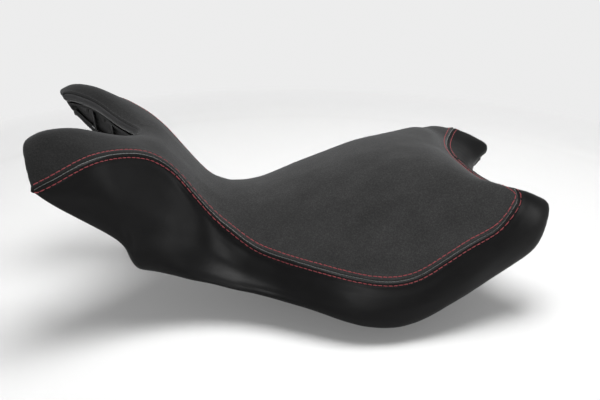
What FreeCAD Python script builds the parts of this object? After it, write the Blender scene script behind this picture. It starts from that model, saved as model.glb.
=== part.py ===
import FreeCAD, Part
import os
from math import sqrt, pi, cos, sin, hypot

Vector = FreeCAD.Vector

# Motorcycle rider seat, in millimetres. +X runs to the rear of the machine, +Y to the
# rider's right, +Z up. The origin is the middle of the bounding box in plan, at the
# height of the underside of the rubber feet. Two wings reach forward either side of a
# front gap; two lobes reach back either side of a rear notch.

# cover, film and foam
TOP_THICK = 2.6          # suede with its scrim foam, measured vertically
SIDE_THICK = 1.5         # backed vinyl
STRIP_THICK = 1.4        # vinyl strip along the front gap
STRIP_H = 9.5
BARRIER_GAP = 3.4        # from the outer skin down to the film
BARRIER_THICK = 0.5      # moisture film
FOAM_DROP = 5.0          # from the outer skin down to the foam core
FOAM_SIDE = 4.2          # from the outer skin in to the foam core, sideways
STITCH_OFFSET = 4.8      # each row of top stitching from the seam
THREAD_R = 0.45
STITCH_PITCH = 5.6
STITCH_LEN = 4.3

# pan and feet
PAN_THICK = 3.0
PAN_CLEAR = 0.8          # between pan and foam
FOAM_LIFT = PAN_CLEAR + 0.6
FOOT_X = (-20.0, 150.0)  # front and rear pairs
FOOT_Y = (38.0, 70.0)    # distance of each pair from the middle
FOOT_R = 13.0
FOOT_H = 16.0
FOOT_POST_R = 9.0
FEET = [(x, side * y) for x, y in zip(FOOT_X, FOOT_Y) for side in (1, -1)]

# steel plates and their fixings
PLATE_THICK = 3.0
TONGUE_Z = 66.0          # lower face of the front tongue
TONGUE_HOLE_R = 4.1
BRACKET_X = 204.0
BRACKET_Z = 62.0         # lower face of the rear bracket's lower flange
BRACKET_TOP_Z = 80.0     # lower face of its upper flange
BRACKET_PITCH = 64.0     # between the two frame bolts
BRACKET_HOLE_R = 4.25
SCREW_R = 3.0
SCREW_HOLE_R = SCREW_R + .35
INSERT_R = 4.2
WASHER_THICK = 1.0
TONGUE_SCREWS = [(-72.0, 15.0), (-72.0, -15.0)]
BRACKET_SCREWS = [(181.0, 34.0), (181.0, -34.0)]

# Half sections of the upper skin: x, then (distance from the middle, height) pairs.
# The last pair of each row lies on the main seam.
TOP_SECTIONS = [
    (-284, [(0, 213), (45, 219), (72, 227.5), (85, 230),
            (95, 230.5), (105, 225), (115, 213), (136, 186)]),
    (-278, [(0, 214), (45, 221), (74, 231), (86, 234),
            (95, 235), (105, 230), (116, 217), (133, 190)]),
    (-255, [(0, 214), (40, 221.5), (66, 233), (79, 239),
            (92, 239.5), (104, 233), (115, 220.5), (127, 201)]),
    (-235, [(0, 210), (30, 216.5), (53, 227.5), (67, 234.5),
            (81, 237), (95, 232.5), (109, 223.5), (121, 210)]),
    (-208, [(0, 206), (20, 208.5), (34, 213.5), (50, 220.5),
            (65, 224), (78, 223.3), (91, 220), (102.5, 215.5)]),
    (-188, [(0, 205.5), (17, 207), (33, 211), (48, 214.5),
            (60, 215.5), (70, 215), (78, 213.2), (84.3, 211)]),
    (-172, [(0, 205), (15, 205.5), (28, 206.8), (40, 208),
            (50, 208.3), (58, 207.8), (65, 206.3), (70.2, 204.6)]),
    (-155, [(0, 197.5), (13, 197.5), (25, 197.5), (35, 197.2),
            (43, 196.5), (49, 195.5), (54, 194.1), (58.3, 192.4)]),
    (-141, [(0, 182), (12, 182), (23, 181.7), (32, 181.2),
            (39, 180.5), (44.5, 179.6), (48.5, 178.5), (51.8, 177.2)]),
    (-126, [(0, 165.3), (12, 165), (23, 164.2), (32, 162.9),
            (39, 161.3), (44.5, 159.6), (48.5, 158.2), (51.5, 156.9)]),
    (-111, [(0, 148.3), (13, 147.8), (25, 146.2), (34, 144),
            (41, 141.7), (46.5, 139.6), (50.5, 138), (54.2, 136.5)]),
    (-96, [(0, 136.8), (14, 136.2), (27, 134), (37, 131),
           (45, 127.8), (51, 125), (56, 122.6), (60.5, 120.2)]),
    (-80, [(0, 130.5), (14, 129.8), (28, 127.2), (39, 123.8),
           (49, 119.5), (57, 115), (64, 111), (69, 108)]),
    (-59, [(0, 129.5), (16, 128.6), (31, 125.5), (43, 121),
           (54, 114.8), (64, 107), (72, 99.3), (78.5, 92.5)]),
    (-35, [(0, 132.8), (18, 131.8), (36, 128), (50, 121.8),
           (62, 113.8), (74, 104), (84, 94), (92, 85)]),
    (-15, [(0, 140), (21, 138.6), (41, 133.6), (56, 126.3),
           (70, 116.8), (84, 104.7), (95, 93.5), (105, 83)]),
    (15, [(0, 151), (24, 149.6), (46, 143.6), (64, 134.2),
          (82, 121), (98, 106), (111, 92.5), (122.5, 80.3)]),
    (45, [(0, 160.2), (26, 158.8), (50, 152.7), (70, 142.5),
          (89, 127.5), (107, 108.5), (122, 91.5), (135, 76)]),
    (86, [(0, 172), (29, 170.8), (56, 164.8), (76, 154.5),
          (96, 136.8), (115, 111.8), (131, 90.5), (145, 72)]),
    (120, [(0, 176.8), (29, 175.8), (58, 170.6), (78, 161.5),
           (97, 144.5), (115, 119), (130, 97.5), (144.5, 77)]),
    (150, [(0, 177.5), (28, 177.5), (56, 175.6), (76, 169.3),
           (94, 155.5), (111, 133), (126, 111.5), (140, 92)]),
    (175, [(0, 170.8), (27, 172.2), (52, 174), (71, 173.2),
           (88, 167.8), (105, 151.5), (120, 127.5), (135, 105)]),
    (199.5, [(0, 156), (25, 156.8), (48, 158.5), (68, 160.5),
             (85, 163.3), (99, 165.2), (114, 147), (130, 115)]),
    (217, [(0, 141), (28, 143), (52, 147), (70, 151),
           (86, 156.3), (98, 162), (110, 156), (125, 125)]),
    (236, [(0, 125), (28, 128), (52, 133), (72, 140),
           (90, 149.5), (101, 157.5), (108, 158), (114, 150)]),
]

# main seam in plan: x, half width
SEAM_PLAN = [
    (-284, 136), (-278, 133), (-272, 130), (-261, 128), (-249, 126), (-235, 121), (-221, 113),
    (-206, 101.2), (-192, 87.8), (-177, 74.5), (-163, 63.5), (-150, 55.6), (-141, 51.8),
    (-132, 51), (-126, 51.5), (-117, 52.9), (-106, 55.8), (-96, 60.5), (-85, 66.3), (-74, 71.8),
    (-56, 80), (-35, 92), (-15, 105), (5, 117), (25, 127), (45, 135), (65, 141), (86, 145),
    (107, 145.7), (128, 144), (145, 141), (162, 138), (179, 134), (199, 130), (217, 125),
    (228, 121), (234, 117), (236, 114),
]

# Side and rear skin, right half: one row per station, from the wing corner round to the
# middle of the rear notch; each row is five (x, y, z) points from the main seam to the hem.
SIDE_ROWS = [
    [(-272, 130, 193.2), (-272, 130.2, 192.3), (-272, 130.2, 191.5), (-271.8, 130, 190.8),
     (-271.5, 129.5, 190)],
    [(-258, 127.5, 200), (-258, 129, 193), (-258, 129.4, 187), (-258, 128.8, 181.5),
     (-258, 127, 176)],
    [(-235, 121, 209.9), (-235, 123.5, 196), (-235, 124, 182), (-235, 122, 168), (-235, 119, 154)],
    [(-212, 106.2, 215.4), (-212, 112, 195), (-212, 115.2, 174), (-212, 114.8, 153),
     (-212, 112, 133)],
    [(-196, 91.8, 213.2), (-196, 100.8, 186), (-195.5, 107, 160), (-195, 109, 134),
     (-194.5, 108, 112)],
    [(-184, 80.6, 209.5), (-184.5, 91.8, 180), (-185, 100, 149), (-186, 104, 118), (-187, 105, 88)],
    [(-170, 69, 203.2), (-170.5, 80.5, 173), (-171, 91, 142), (-171.5, 98.4, 110), (-172, 102, 79)],
    [(-149, 55.1, 186.2), (-149, 66, 157), (-149, 78.8, 127), (-149, 91, 98), (-149, 100, 71)],
    [(-127, 51.4, 158.3), (-127, 58.5, 134), (-127, 70, 110), (-127, 85, 85), (-127, 99, 62)],
    [(-105, 56.1, 129.6), (-105, 60.5, 111.5), (-105, 69.8, 92), (-105, 84, 73), (-105, 100, 56)],
    [(-80, 68.9, 107.9), (-80, 71, 93), (-80, 78, 77.5), (-80, 90, 63), (-80, 104, 49)],
    [(-59, 78.6, 92.8), (-59, 80.8, 81), (-59, 87.8, 70), (-59, 98.4, 58), (-59, 110, 46)],
    [(-30, 95.2, 84.4), (-30, 97.8, 74), (-30, 104.5, 64), (-30, 113, 53), (-30, 122, 42)],
    [(2, 115.3, 81.6), (2, 119.8, 71.5), (2, 126.4, 61), (2, 133, 50), (2, 138, 38)],
    [(35, 131, 77.8), (35, 137, 68), (35, 144, 57), (35, 150, 45), (35, 153, 31)],
    [(63, 140.6, 73.4), (63, 147, 62), (63, 153.5, 50), (63, 159, 37.5), (63, 160, 25)],
    [(95, 145.5, 72.5), (95, 151.3, 60), (95, 156.8, 47.5), (95, 160.7, 35), (95, 160.5, 22.5)],
    [(125, 144.3, 79.2), (125, 150, 65), (125, 155, 51), (125, 157.5, 38), (125, 156, 27)],
    [(155, 139.3, 94.8), (155, 145, 79), (155, 149.5, 64), (155, 151.5, 51), (155, 150, 39)],
    [(184, 133, 108.8), (184, 139, 92), (184, 143.3, 75), (184, 144, 61), (184, 141, 50)],
    [(208, 127.8, 119), (208, 133, 102), (209, 136, 85), (209, 135.5, 71), (209, 132.5, 60)],
    [(225, 122.3, 134.2), (232, 126, 117), (240, 127.5, 101.5), (246, 126, 88), (247, 122, 77)],
    [(234, 117, 145.3), (247, 119, 130.5), (261, 119.5, 117.5), (269.5, 118, 104),
     (267, 115.5, 92)],
    [(236, 112.5, 149.7), (254, 110.8, 143.5), (271, 108.5, 135.5), (279, 107, 124),
     (275.5, 105, 111)],
    [(234, 108, 156.3), (254, 103, 151), (273, 98.8, 141), (283, 97.5, 132), (279, 96.5, 120.5)],
    [(228, 98, 156.6), (246, 93, 150.3), (262, 89.5, 143), (272.5, 87.8, 133.5),
     (271.5, 87.3, 121.5)],
    [(218, 80, 153), (231, 77, 148.3), (245, 74.5, 140.2), (254.5, 72, 130), (256, 71, 118)],
    [(208.5, 55, 153.2), (218, 53, 149.2), (231, 50.5, 141), (240, 48, 129.5),
     (243.5, 46.5, 116.8)],
    [(202, 28, 155), (211.5, 27, 150.8), (224, 26, 140), (232.5, 24.5, 129), (236, 23.5, 116.3)],
    [(199.5, 0, 155.8), (209, 0, 151.3), (221, 0, 140), (229.5, 0, 129), (233, 0, 116)],
]
LAST = len(SIDE_ROWS) - 1    # station at the middle of the rear notch
# upward slope of the pan lip at each station of SIDE_ROWS, degrees
LIP_ANGLES = [60, 70, 78, 82, 84, 86, 84, 78, 68, 50, 37, 33, 28, 25, 28,
              29, 32, 34, 34, 33, 29, 23, 15, 10, 8, 8, 8, 8, 8, 8]

# front gap between the wings, upper edge in plan: x, half width
GAP_PLAN = [(-292, 84), (-282, 79), (-273, 75), (-259, 67.5), (-239, 55), (-226, 46),
            (-208, 32), (-195, 21.5), (-187, 14), (-182, 7), (-180.5, 0)]
# front edge of a wing in plan, from the gap to the outer corner: x, distance from the middle
FRONT_PLAN = [(-273, 72), (-277, 79), (-281, 88), (-283, 98),
              (-282.5, 106), (-280, 115), (-276.5, 122), (-271.5, 131)]
# rear notch along the main seam in plan, from the middle out: x, y
NOTCH_PLAN = [SIDE_ROWS[i][0][:2] for i in range(LAST, 22, -1)]

# Upper face of the pan, half sections from the edge to the middle:
# x, then (distance from the middle, height) pairs.
PAN_SECTIONS = [
    (-266, [(124, 189), (117, 203), (104, 217), (91, 225), (78, 221), (0, 202)]),
    (-250, [(119, 170), (112, 195), (101.5, 214), (88, 227), (68, 220), (0, 200)]),
    (-235, [(114.5, 159), (109, 184), (100, 206), (83, 227), (56, 216), (0, 198)]),
    (-212, [(107.5, 139), (103, 163), (93, 188), (75, 208), (38, 200), (0, 194)]),
    (-196, [(103, 121), (97.5, 147), (84, 175), (62, 198), (24, 193.5), (0, 191)]),
    (-180, [(99.5, 89), (93, 117), (76, 151), (53, 181), (22, 187), (0, 187.5)]),
    (-165, [(97, 81), (88.5, 104), (71, 134), (50, 162), (25, 174), (0, 176)]),
    (-149, [(95, 75), (83, 93), (65, 118), (46, 140), (26, 150.5), (0, 153)]),
    (-127, [(94.5, 66.5), (79.5, 78), (61, 93), (45, 107), (26, 117), (0, 120)]),
    (-105, [(95.5, 60.5), (80, 67), (65, 78), (48, 89), (27, 97.5), (0, 99.5)]),
    (-80, [(99.5, 53.5), (85, 60), (72.5, 69), (54, 79.5), (28, 85.5), (0, 87)]),
    (-59, [(105.5, 50.5), (91.5, 56.5), (79, 65), (57, 75), (28, 80), (0, 81)]),
    (-30, [(117.5, 46.5), (103.5, 51.5), (87, 61), (60, 73), (30, 79), (0, 80)]),
    (2, [(133.5, 42.5), (119.5, 47.5), (97, 58), (64, 74), (32, 81), (0, 82)]),
    (35, [(148.5, 35.5), (137, 41.5), (107, 56), (70, 75), (35, 85), (0, 87)]),
    (63, [(155.5, 29.5), (144, 36), (113, 53), (74, 76), (37, 88), (0, 91)]),
    (95, [(156, 27), (145, 34), (114, 53), (76, 79), (38, 93), (0, 97)]),
    (125, [(151.5, 31.5), (141, 38.5), (112, 58), (76, 84), (38, 97), (0, 101)]),
    (155, [(145.5, 43.5), (136, 50), (109, 67), (75, 91), (38, 102), (0, 105)]),
    (184, [(136.5, 54.5), (128, 60), (104, 74), (72, 95), (37, 104), (0, 106)]),
    (208, [(128, 64.5), (120, 69), (99, 79), (70, 96), (36, 104), (0, 106)]),
    (230, [(121, 75), (114, 80), (98, 92), (72, 103), (36, 109), (0, 110)]),
    (250, [(114, 84), (108.5, 91), (96, 104), (76, 112), (38, 114.5), (0, 115)]),
    (268, [(108, 100), (104.5, 106), (97, 112.5), (82, 117), (40, 117.5), (0, 117.5)]),
    (280, [(101, 115), (99, 118), (95, 120), (84, 121), (40, 120), (0, 120)]),
]

# where the smooth surfaces and lofts are sampled: x, and share of the seam half width
SKIN_X = [-284, -278, -268, -255, -245, -235, -222, -208, -198, -188, -180, -172, -164, -155,
          -148, -141, -133, -126, -118, -111, -103, -96, -88, -80, -70, -59, -47, -35, -25,
          -15, 0, 15, 30, 45, 65, 86, 103, 120, 135, 150, 163, 175, 188, 199.5, 208, 217,
          226, 236]
SKIN_SHARES = [-1, -.94, -.86, -.77, -.68, -.58, -.48, -.37, -.25, -.12, 0,
               .12, .25, .37, .48, .58, .68, .77, .86, .94, 1]
PAN_X = [-270, -266, -258, -250, -242, -235, -223, -212, -204, -196, -188, -180, -172, -165,
         -157, -149, -138, -127, -116, -105, -92, -80, -70, -59, -45, -30, -14, 2, 18, 35, 49,
         63, 79, 95, 110, 125, 140, 155, 170, 184, 196, 208, 219, 230, 240, 250, 259, 268, 276]
FOAM_X = [-258, -246, -230, -212, -196, -180, -165, -150, -135, -120, -105, -88, -70, -50,
          -30, -8, 16, 42, 70, 100, 130, 158, 184, 200, 214]
FOAM_SHARES = [0, .3, .55, .75, .9, 1.0]
# foam in the rear lobes: x, upper points, side points, as (distance from the middle, height)
FOAM_LOBES = [
    (240, [(0, 128), (28, 129), (56, 133), (79, 139), (96, 144.5), (107, 142)],
     [(113, 130), (118, 114), (118.5, 98)]),
    (264, [(0, 127), (26, 128), (52, 130), (74, 134), (89, 136), (98, 134)],
     [(106, 128), (109, 120), (110, 111)]),
]


# ---- curves and vectors ----
class Spline:
    """Cubic Hermite spline that runs on straight beyond its ends.

    monotone limits the slopes so that the curve can't overshoot its points;
    flat_start sets the first slope to zero.
    """

    def __init__(self, xs, ys, monotone=False, flat_start=False):
        count = len(xs)
        spans = [xs[i + 1] - xs[i] for i in range(count - 1)]
        chords = [(ys[i + 1] - ys[i]) / spans[i] for i in range(count - 1)]
        slopes = [0.0] * count
        for i in range(1, count - 1):
            before, after = chords[i - 1], chords[i]
            if not monotone:
                slopes[i] = ((spans[i] * before + spans[i - 1] * after)
                             / (spans[i - 1] + spans[i]))
            elif before * after > 0:
                weight_a = 2 * spans[i] + spans[i - 1]
                weight_b = spans[i] + 2 * spans[i - 1]
                slopes[i] = (weight_a + weight_b) / (weight_a / before + weight_b / after)
        if monotone:
            slopes[0], slopes[-1] = chords[0], chords[-1]
        else:
            slopes[0] = 1.5 * chords[0] - 0.5 * slopes[1]
            slopes[-1] = 1.5 * chords[-1] - 0.5 * slopes[-2]
        if flat_start:
            slopes[0] = 0.0
        self.xs, self.ys, self.spans, self.slopes = xs, ys, spans, slopes

    def __call__(self, x):
        xs, ys, slopes = self.xs, self.ys, self.slopes
        if x <= xs[0]:
            return ys[0] + slopes[0] * (x - xs[0])
        if x >= xs[-1]:
            return ys[-1] + slopes[-1] * (x - xs[-1])
        i = 0
        while xs[i + 1] <= x:
            i += 1
        span = self.spans[i]
        t = (x - xs[i]) / span
        return ((2 * t ** 3 - 3 * t ** 2 + 1) * ys[i]
                + (t ** 3 - 2 * t ** 2 + t) * slopes[i] * span
                + (-2 * t ** 3 + 3 * t ** 2) * ys[i + 1]
                + (t ** 3 - t ** 2) * slopes[i + 1] * span)


def add(a, b, factor=1.0):
    return tuple(p + factor * q for p, q in zip(a, b))


def sub(a, b):
    return tuple(p - q for p, q in zip(a, b))


def length(a):
    return sqrt(sum(p ** 2 for p in a))


def unit(a):
    size = length(a) or 1.0
    return tuple(p / size for p in a)


def cross(a, b):
    return (a[1] * b[2] - a[2] * b[1], a[2] * b[0] - a[0] * b[2], a[0] * b[1] - a[1] * b[0])


def path_lengths(points):
    """Distance along the path at each of its points."""
    total = [0.0]
    for a, b in zip(points, points[1:]):
        total.append(total[-1] + length(sub(b, a)))
    return total


def smooth_plan(points, count):
    """Plan curve through points, sampled at count + 1 even steps of chord length."""
    along = path_lengths(points)
    shares = [v / along[-1] for v in along]
    curves = [Spline(shares, [p[k] for p in points]) for k in range(2)]
    return [tuple(curve(i / float(count)) for curve in curves) for i in range(count + 1)]


def offset_plan(points, distance):
    """Offset an open plan curve to its left."""
    out = []
    for i, (x, y) in enumerate(points):
        a, b = points[max(0, i - 1)], points[min(len(points) - 1, i + 1)]
        tx, ty = b[0] - a[0], b[1] - a[1]
        size = hypot(tx, ty)
        out.append((x - ty / size * distance, y + tx / size * distance))
    return out


def mirrored(points):
    """Points in reverse order on the other side of the middle; y or width comes at index 1."""
    return [(p[0], -p[1]) + tuple(p[2:]) for p in reversed(points)]


# ---- shapes ----
def polygon(points):
    vectors = [Vector(*p) for p in points]
    return Part.makePolygon(vectors + [vectors[0]])


def prism(plan, low, high):
    return Part.Face(polygon([(x, y, low) for x, y in plan])).extrude(Vector(0, 0, high - low))


def spline_prism(curve_plan, return_plan, low, high):
    """Prism over a plan bounded by a smooth curve and a straight-sided return path."""
    curve = Part.BSplineCurve()
    curve.interpolate([Vector(x, y, low) for x, y in curve_plan])
    plan = [curve_plan[-1]] + return_plan + [curve_plan[0]]
    corners = [Vector(x, y, low) for x, y in plan]
    lines = [Part.makeLine(a, b) for a, b in zip(corners, corners[1:])]
    wire = Part.Wire([curve.toShape()] + lines)
    return Part.Face(wire).extrude(Vector(0, 0, high - low))


def through_surface(grid):
    """Surface through every point of the grid."""
    surface = Part.BSplineSurface()
    surface.interpolate([[Vector(*p) for p in row] for row in grid])
    return surface


def net_surface(grid):
    """Cubic surface with the grid as its control net, so that it can't swing past the grid."""
    surface = Part.BSplineSurface()
    mults = [[4] + [1] * (count - 4) + [4] for count in (len(grid), len(grid[0]))]
    knots = [[float(k) for k in range(len(m))] for m in mults]
    surface.buildFromPolesMultsKnots([[Vector(*p) for p in row] for row in grid],
                                     mults[0], mults[1], knots[0], knots[1],
                                     False, False, 3, 3)
    return surface


def closed_solid(faces):
    shell = Part.makeShell(faces)
    shell.sewShape()
    solid = Part.Solid(shell)
    # the shell may come out facing inwards
    if solid.Volume < 0:
        solid.reverse()
    return solid


def slab(outer_grid, inner_grid, parts=1, make_surface=through_surface):
    """Closed solid between two grids of the same shape, its faces cut into parts by rows."""
    whole = [make_surface(outer_grid), make_surface(inner_grid)]
    knots = [s.getUKnots() for s in whole]
    v_ends = [s.bounds()[2:] for s in whole]
    cuts = [int(round(k * (len(knots[0]) - 1) / float(parts))) for k in range(parts + 1)]
    faces = []
    for a, b in zip(cuts[:-1], cuts[1:]):
        pieces = [s.copy() for s in whole]
        for piece, knot, v_end in zip(pieces, knots, v_ends):
            piece.segment(knot[a], knot[b], v_end[0], v_end[1])
        faces += [piece.toShape() for piece in pieces]
        for end in (0, 1):
            edges = [p.vIso(v_end[end]).toShape() for p, v_end in zip(pieces, v_ends)]
            faces.append(Part.makeRuledSurface(edges[0], edges[1], 1))
    for end in (0, -1):
        edges = [s.uIso(knot[end]).toShape() for s, knot in zip(whole, knots)]
        faces.append(Part.makeRuledSurface(edges[0], edges[1], 1))
    return closed_solid(faces)


def section_loft(sections):
    """Solid through (x, polygon) sections, polygons as (y, z) pairs."""
    wires = [polygon([(x, y, z) for y, z in outline]) for x, outline in sections]
    return Part.makeLoft(wires, True, False)


def cylinder(radius, height, x, y, z):
    return Part.makeCylinder(radius, height, Vector(x, y, z))


def ring(x, y, z, outer_r, inner_r, height):
    return cylinder(outer_r, height, x, y, z).cut(cylinder(inner_r, height + 2, x, y, z - 1))


def mirror(shape):
    return shape.mirror(Vector(0, 0, 0), Vector(0, 1, 0))


def largest(shape):
    return max(shape.Solids, key=lambda s: s.Volume)


def save(shape, name):
    shape.exportStep("parts/%s.step" % name)


# ---- upper skin ----
SHARE_STEPS = 12
SHARES = [i / float(SHARE_STEPS) for i in range(SHARE_STEPS + 1)]
seam_half_width = Spline([x for x, _ in SEAM_PLAN], [w for _, w in SEAM_PLAN])


def lengthwise_heights():
    """Height along x at each even share of the seam half width."""
    rows = []
    for _, points in TOP_SECTIONS:
        widths = [w / float(points[-1][0]) for w, _ in points]
        section = Spline(widths, [z for _, z in points], flat_start=True)
        rows.append([section(t) for t in SHARES])
    xs = [x for x, _ in TOP_SECTIONS]
    return [Spline(xs, list(heights)) for heights in zip(*rows)]


HEIGHT_CURVES = lengthwise_heights()


def top_z(x, y):
    """Height of the upper skin."""
    section = Spline(SHARES, [curve(x) for curve in HEIGHT_CURVES], flat_start=True)
    return section(abs(y) / seam_half_width(x))


# ---- side skin and hem ----
STATIONS = list(range(LAST + 1))
SIDE_CURVES = [[Spline(STATIONS, [row[k][axis] for row in SIDE_ROWS]) for axis in range(3)]
               for k in range(5)]
lip_angle = Spline(STATIONS, [a * pi / 180 for a in LIP_ANGLES], monotone=True)


def row_point(k, station):
    return tuple(curve(station) for curve in SIDE_CURVES[k])


def side_point(station, down):
    """Point of the side skin; down is 0 on the seam, 1 at the hem."""
    points = [row_point(k, station) for k in range(5)]
    return tuple(Spline([0, .25, .5, .75, 1], [p[axis] for p in points])(down)
                 for axis in range(3))


def side_at_x(x, down):
    """Half width and height of the side skin where it crosses the plane at x."""
    low, high = 0.0, 22.0
    if side_point(high, down)[0] < x:
        return side_point(high, down)[1:]
    for _ in range(30):
        middle = (low + high) / 2
        if side_point(middle, down)[0] < x:
            low = middle
        else:
            high = middle
    return side_point(low, down)[1:]


def hem_frame(station):
    """Hem point, tangent, inward-and-up direction of the lip, its underside normal, outward."""
    a = row_point(4, max(0, station - .25))
    b = row_point(4, min(LAST, station + .25))
    tx, ty = b[0] - a[0], b[1] - a[1]
    size = hypot(tx, ty)
    outward = (-ty / size, tx / size, 0.0)
    if station > LAST - .01:
        outward = (1.0, 0.0, 0.0)
    angle = lip_angle(station)
    inward = (-outward[0] * cos(angle), -outward[1] * cos(angle), sin(angle))
    under = (-outward[0] * sin(angle), -outward[1] * sin(angle), -cos(angle))
    return row_point(4, station), unit(sub(b, a)), inward, under, outward


def lip_point(station):
    hem, _, _, _, outward = hem_frame(station)
    return add(add(hem, outward, -4.5), (0, 0, 4.5))


def tuck_share(station):
    """Share of the turned-under depth: shorter round the tight corner of a rear lobe."""
    t = min(1.0, max(0.0, (abs(station - 24.0) - .8) / 1.6))
    return .22 + .78 * t * t * (3 - 2 * t)


# ---- cutters; a positive grow widens the gap or notch, or moves the wing front forward ----
def gap_prism(grow, low=100.0, high=300.0):
    plan = offset_plan(GAP_PLAN + mirrored(GAP_PLAN[:-1]), grow)
    return spline_prism(plan, [(-330, plan[-1][1]), (-330, plan[0][1])], low, high)


def front_prism(side, grow):
    plan = offset_plan(FRONT_PLAN, grow)
    start, end = plan[0], plan[-1]
    plan = [(start[0] - 3, start[1] - 14)] + plan + [(end[0] + 3, end[1] + 8)]
    plan = [(x, side * y) for x, y in plan]
    return spline_prism(plan, [(-330, plan[-1][1]), (-330, plan[0][1])], 100, 300)


def cut_front(shape, gap_grow, front_grow, *gap_heights):
    """Cut away the gap and what lies ahead of both wings."""
    shape = shape.cut(gap_prism(gap_grow, *gap_heights))
    return shape.cut(front_prism(1, front_grow)).cut(front_prism(-1, front_grow))


def notch_prism(grow):
    half = offset_plan(NOTCH_PLAN, grow)
    half[0] = (half[0][0], 0.0)
    half.append((half[-1][0] + 6, half[-1][1] + 4))
    plan = mirrored(half[1:]) + half
    return spline_prism(plan, [(360, plan[-1][1]), (360, plan[0][1])], 60.0, 300)


def hem_prism(inset):
    """Everything behind the rear hem, moved in by inset."""
    half = []
    for k in range(33):
        hem, _, _, _, outward = hem_frame(LAST - k * 0.25)
        half.append(add(hem, outward, -inset)[:2])
    half[0] = (half[0][0], 0.0)
    plan = mirrored(half[1:]) + half
    back = [(plan[-1][0], 200), (400, 200), (400, -200), (plan[0][0], -200)]
    return spline_prism(plan, back, 20, 300)


# ---- upper panel and moisture film ----
def skin_layer(drop, inset, thick, gap_grow, front_grow, notch_grow):
    """Layer that follows the upper skin, drop below it and inset from the seam."""
    grid = []
    for x in SKIN_X:
        half = seam_half_width(x) - inset
        grid.append([(x, t * half, top_z(x, t * half) - drop) for t in SKIN_SHARES])
    layer = through_surface(grid).toShape().extrude(Vector(0, 0, -thick))
    return cut_front(layer, gap_grow, front_grow).cut(notch_prism(notch_grow))


def top_panel():
    """One piece of suede from wing to wing and back to the rear notch."""
    return skin_layer(drop=0.0, inset=0.6, thick=TOP_THICK, gap_grow=STRIP_THICK + 0.5,
                      front_grow=-1.2, notch_grow=0.6)


def moisture_barrier():
    return skin_layer(drop=BARRIER_GAP, inset=3.6, thick=BARRIER_THICK,
                      gap_grow=STRIP_THICK + 2.2, front_grow=-3.5, notch_grow=4.5)


# ---- side panels ----
SIDE_FIRST, SIDE_END = 0.6, LAST - .02       # stations
SIDE_DOWN = [.05, .16, .3, .45, .6, .75, .88, .96, 1.0]
TURN_DEPTH = 5.0         # of the turned-under flange below the lip line
TURN_WIDTH = 11.5        # of the flange inward at full tuck


def arc_middle(centre, a, b):
    """Middle of the arc from a to b round centre."""
    to_a, to_b = sub(a, centre), sub(b, centre)
    middle = unit(add(unit(to_a), unit(to_b)))
    return add(centre, middle, (length(to_a) + length(to_b)) / 2)


def side_grid():
    """Outer face: down the skin, then rolled under the lip of the pan."""
    grid = []
    count = int(round((SIDE_END - SIDE_FIRST) / .25))
    for k in range(count + 1):
        station = SIDE_FIRST + (SIDE_END - SIDE_FIRST) * k / float(count)
        row = [side_point(station, down) for down in SIDE_DOWN]
        _, _, inward, normal, _ = hem_frame(station)
        lip = lip_point(station)
        share = tuck_share(station)
        under = add(add(lip, inward, -2.2), normal, 4.4)
        turned = add(add(lip, inward, 5.0 * share), normal, TURN_DEPTH)
        row += [arc_middle(lip, row[-1], under), under, arc_middle(lip, under, turned), turned,
                add(add(lip, inward, TURN_WIDTH * share), normal, TURN_DEPTH)]
        grid.append(row)
    return grid


def grid_offset(grid, distance):
    """Offset a grid along its own normals."""
    out = []
    rows, columns = len(grid), len(grid[0])
    for i in range(rows):
        row = []
        for j in range(columns):
            a = sub(grid[min(rows - 1, i + 1)][j], grid[max(0, i - 1)][j])
            b = sub(grid[i][min(columns - 1, j + 1)], grid[i][max(0, j - 1)])
            row.append(add(grid[i][j], unit(cross(a, b)), distance))
        out.append(row)
    return out


def side_panel():
    """Right-hand vinyl panel, from the main seam to the flange under the pan edge."""
    outer = side_grid()
    # the grid's normals point outwards
    return slab(outer, grid_offset(outer, -SIDE_THICK), 12, net_surface)


# ---- vinyl strip along the front gap ----
GAP_HALF = smooth_plan(GAP_PLAN[1:], 26)
GAP_EDGE = GAP_HALF + mirrored(GAP_HALF[:-1])
# strip profile: offset from the gap edge into the seat, depth below the upper skin
STRIP_OUTER = [(.6, .3), (-.2, 2.2), (-.5, 5.0), (.0, 7.6), (1.2, STRIP_H)]
STRIP_INNER = [(1.7, 1.2), (1.2, 2.9), (.9, 5.0), (1.4, 7.2), (2.6, STRIP_H)]


def gap_row(offset, down):
    return [(x, y, top_z(x, y) - down) for x, y in offset_plan(GAP_EDGE, offset)]


def gap_strip():
    grids = [list(zip(*[gap_row(offset, down) for offset, down in profile]))
             for profile in (STRIP_OUTER, STRIP_INNER)]
    return slab(grids[0], grids[1])


# ---- pan ----
PAN_CURVES = [[Spline([x for x, _ in PAN_SECTIONS], [pts[k][axis] for _, pts in PAN_SECTIONS])
               for axis in range(2)] for k in range(6)]
RIB_THICK = 2.4
LONG_RIB_Y = (-34, 0, 34)
# cross ribs: x, half length
CROSS_RIBS = [(-128, 72), (-92, 72), (-20, 95), (28, 95), (76, 95), (118, 95), (168, 95),
              (214, 95)]
WING_RIB_X = (-248, -226, -204)
WING_RIB_THICK = 2.2
WING_RIB_Y = (52, 114)   # inner and outer end
RIB_BITE = 1.5           # ribs start this far below the upper face
POST_WALL = 2.6
DECK_BITE = 1.2          # posts and bosses stop this far below the upper face
FIN_HALF = 1.1           # half thickness of the fins round a foot post
FIN_LENGTH = 14
FIN_START = FOOT_POST_R - .8
BOSS_R = 8.0
BOSSES = ([(x, y, TONGUE_Z + PLATE_THICK) for x, y in TONGUE_SCREWS]
          + [(x, y, BRACKET_TOP_Z + PLATE_THICK) for x, y in BRACKET_SCREWS])


def pan_half(x):
    return [(width(x), height(x)) for width, height in PAN_CURVES]


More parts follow.
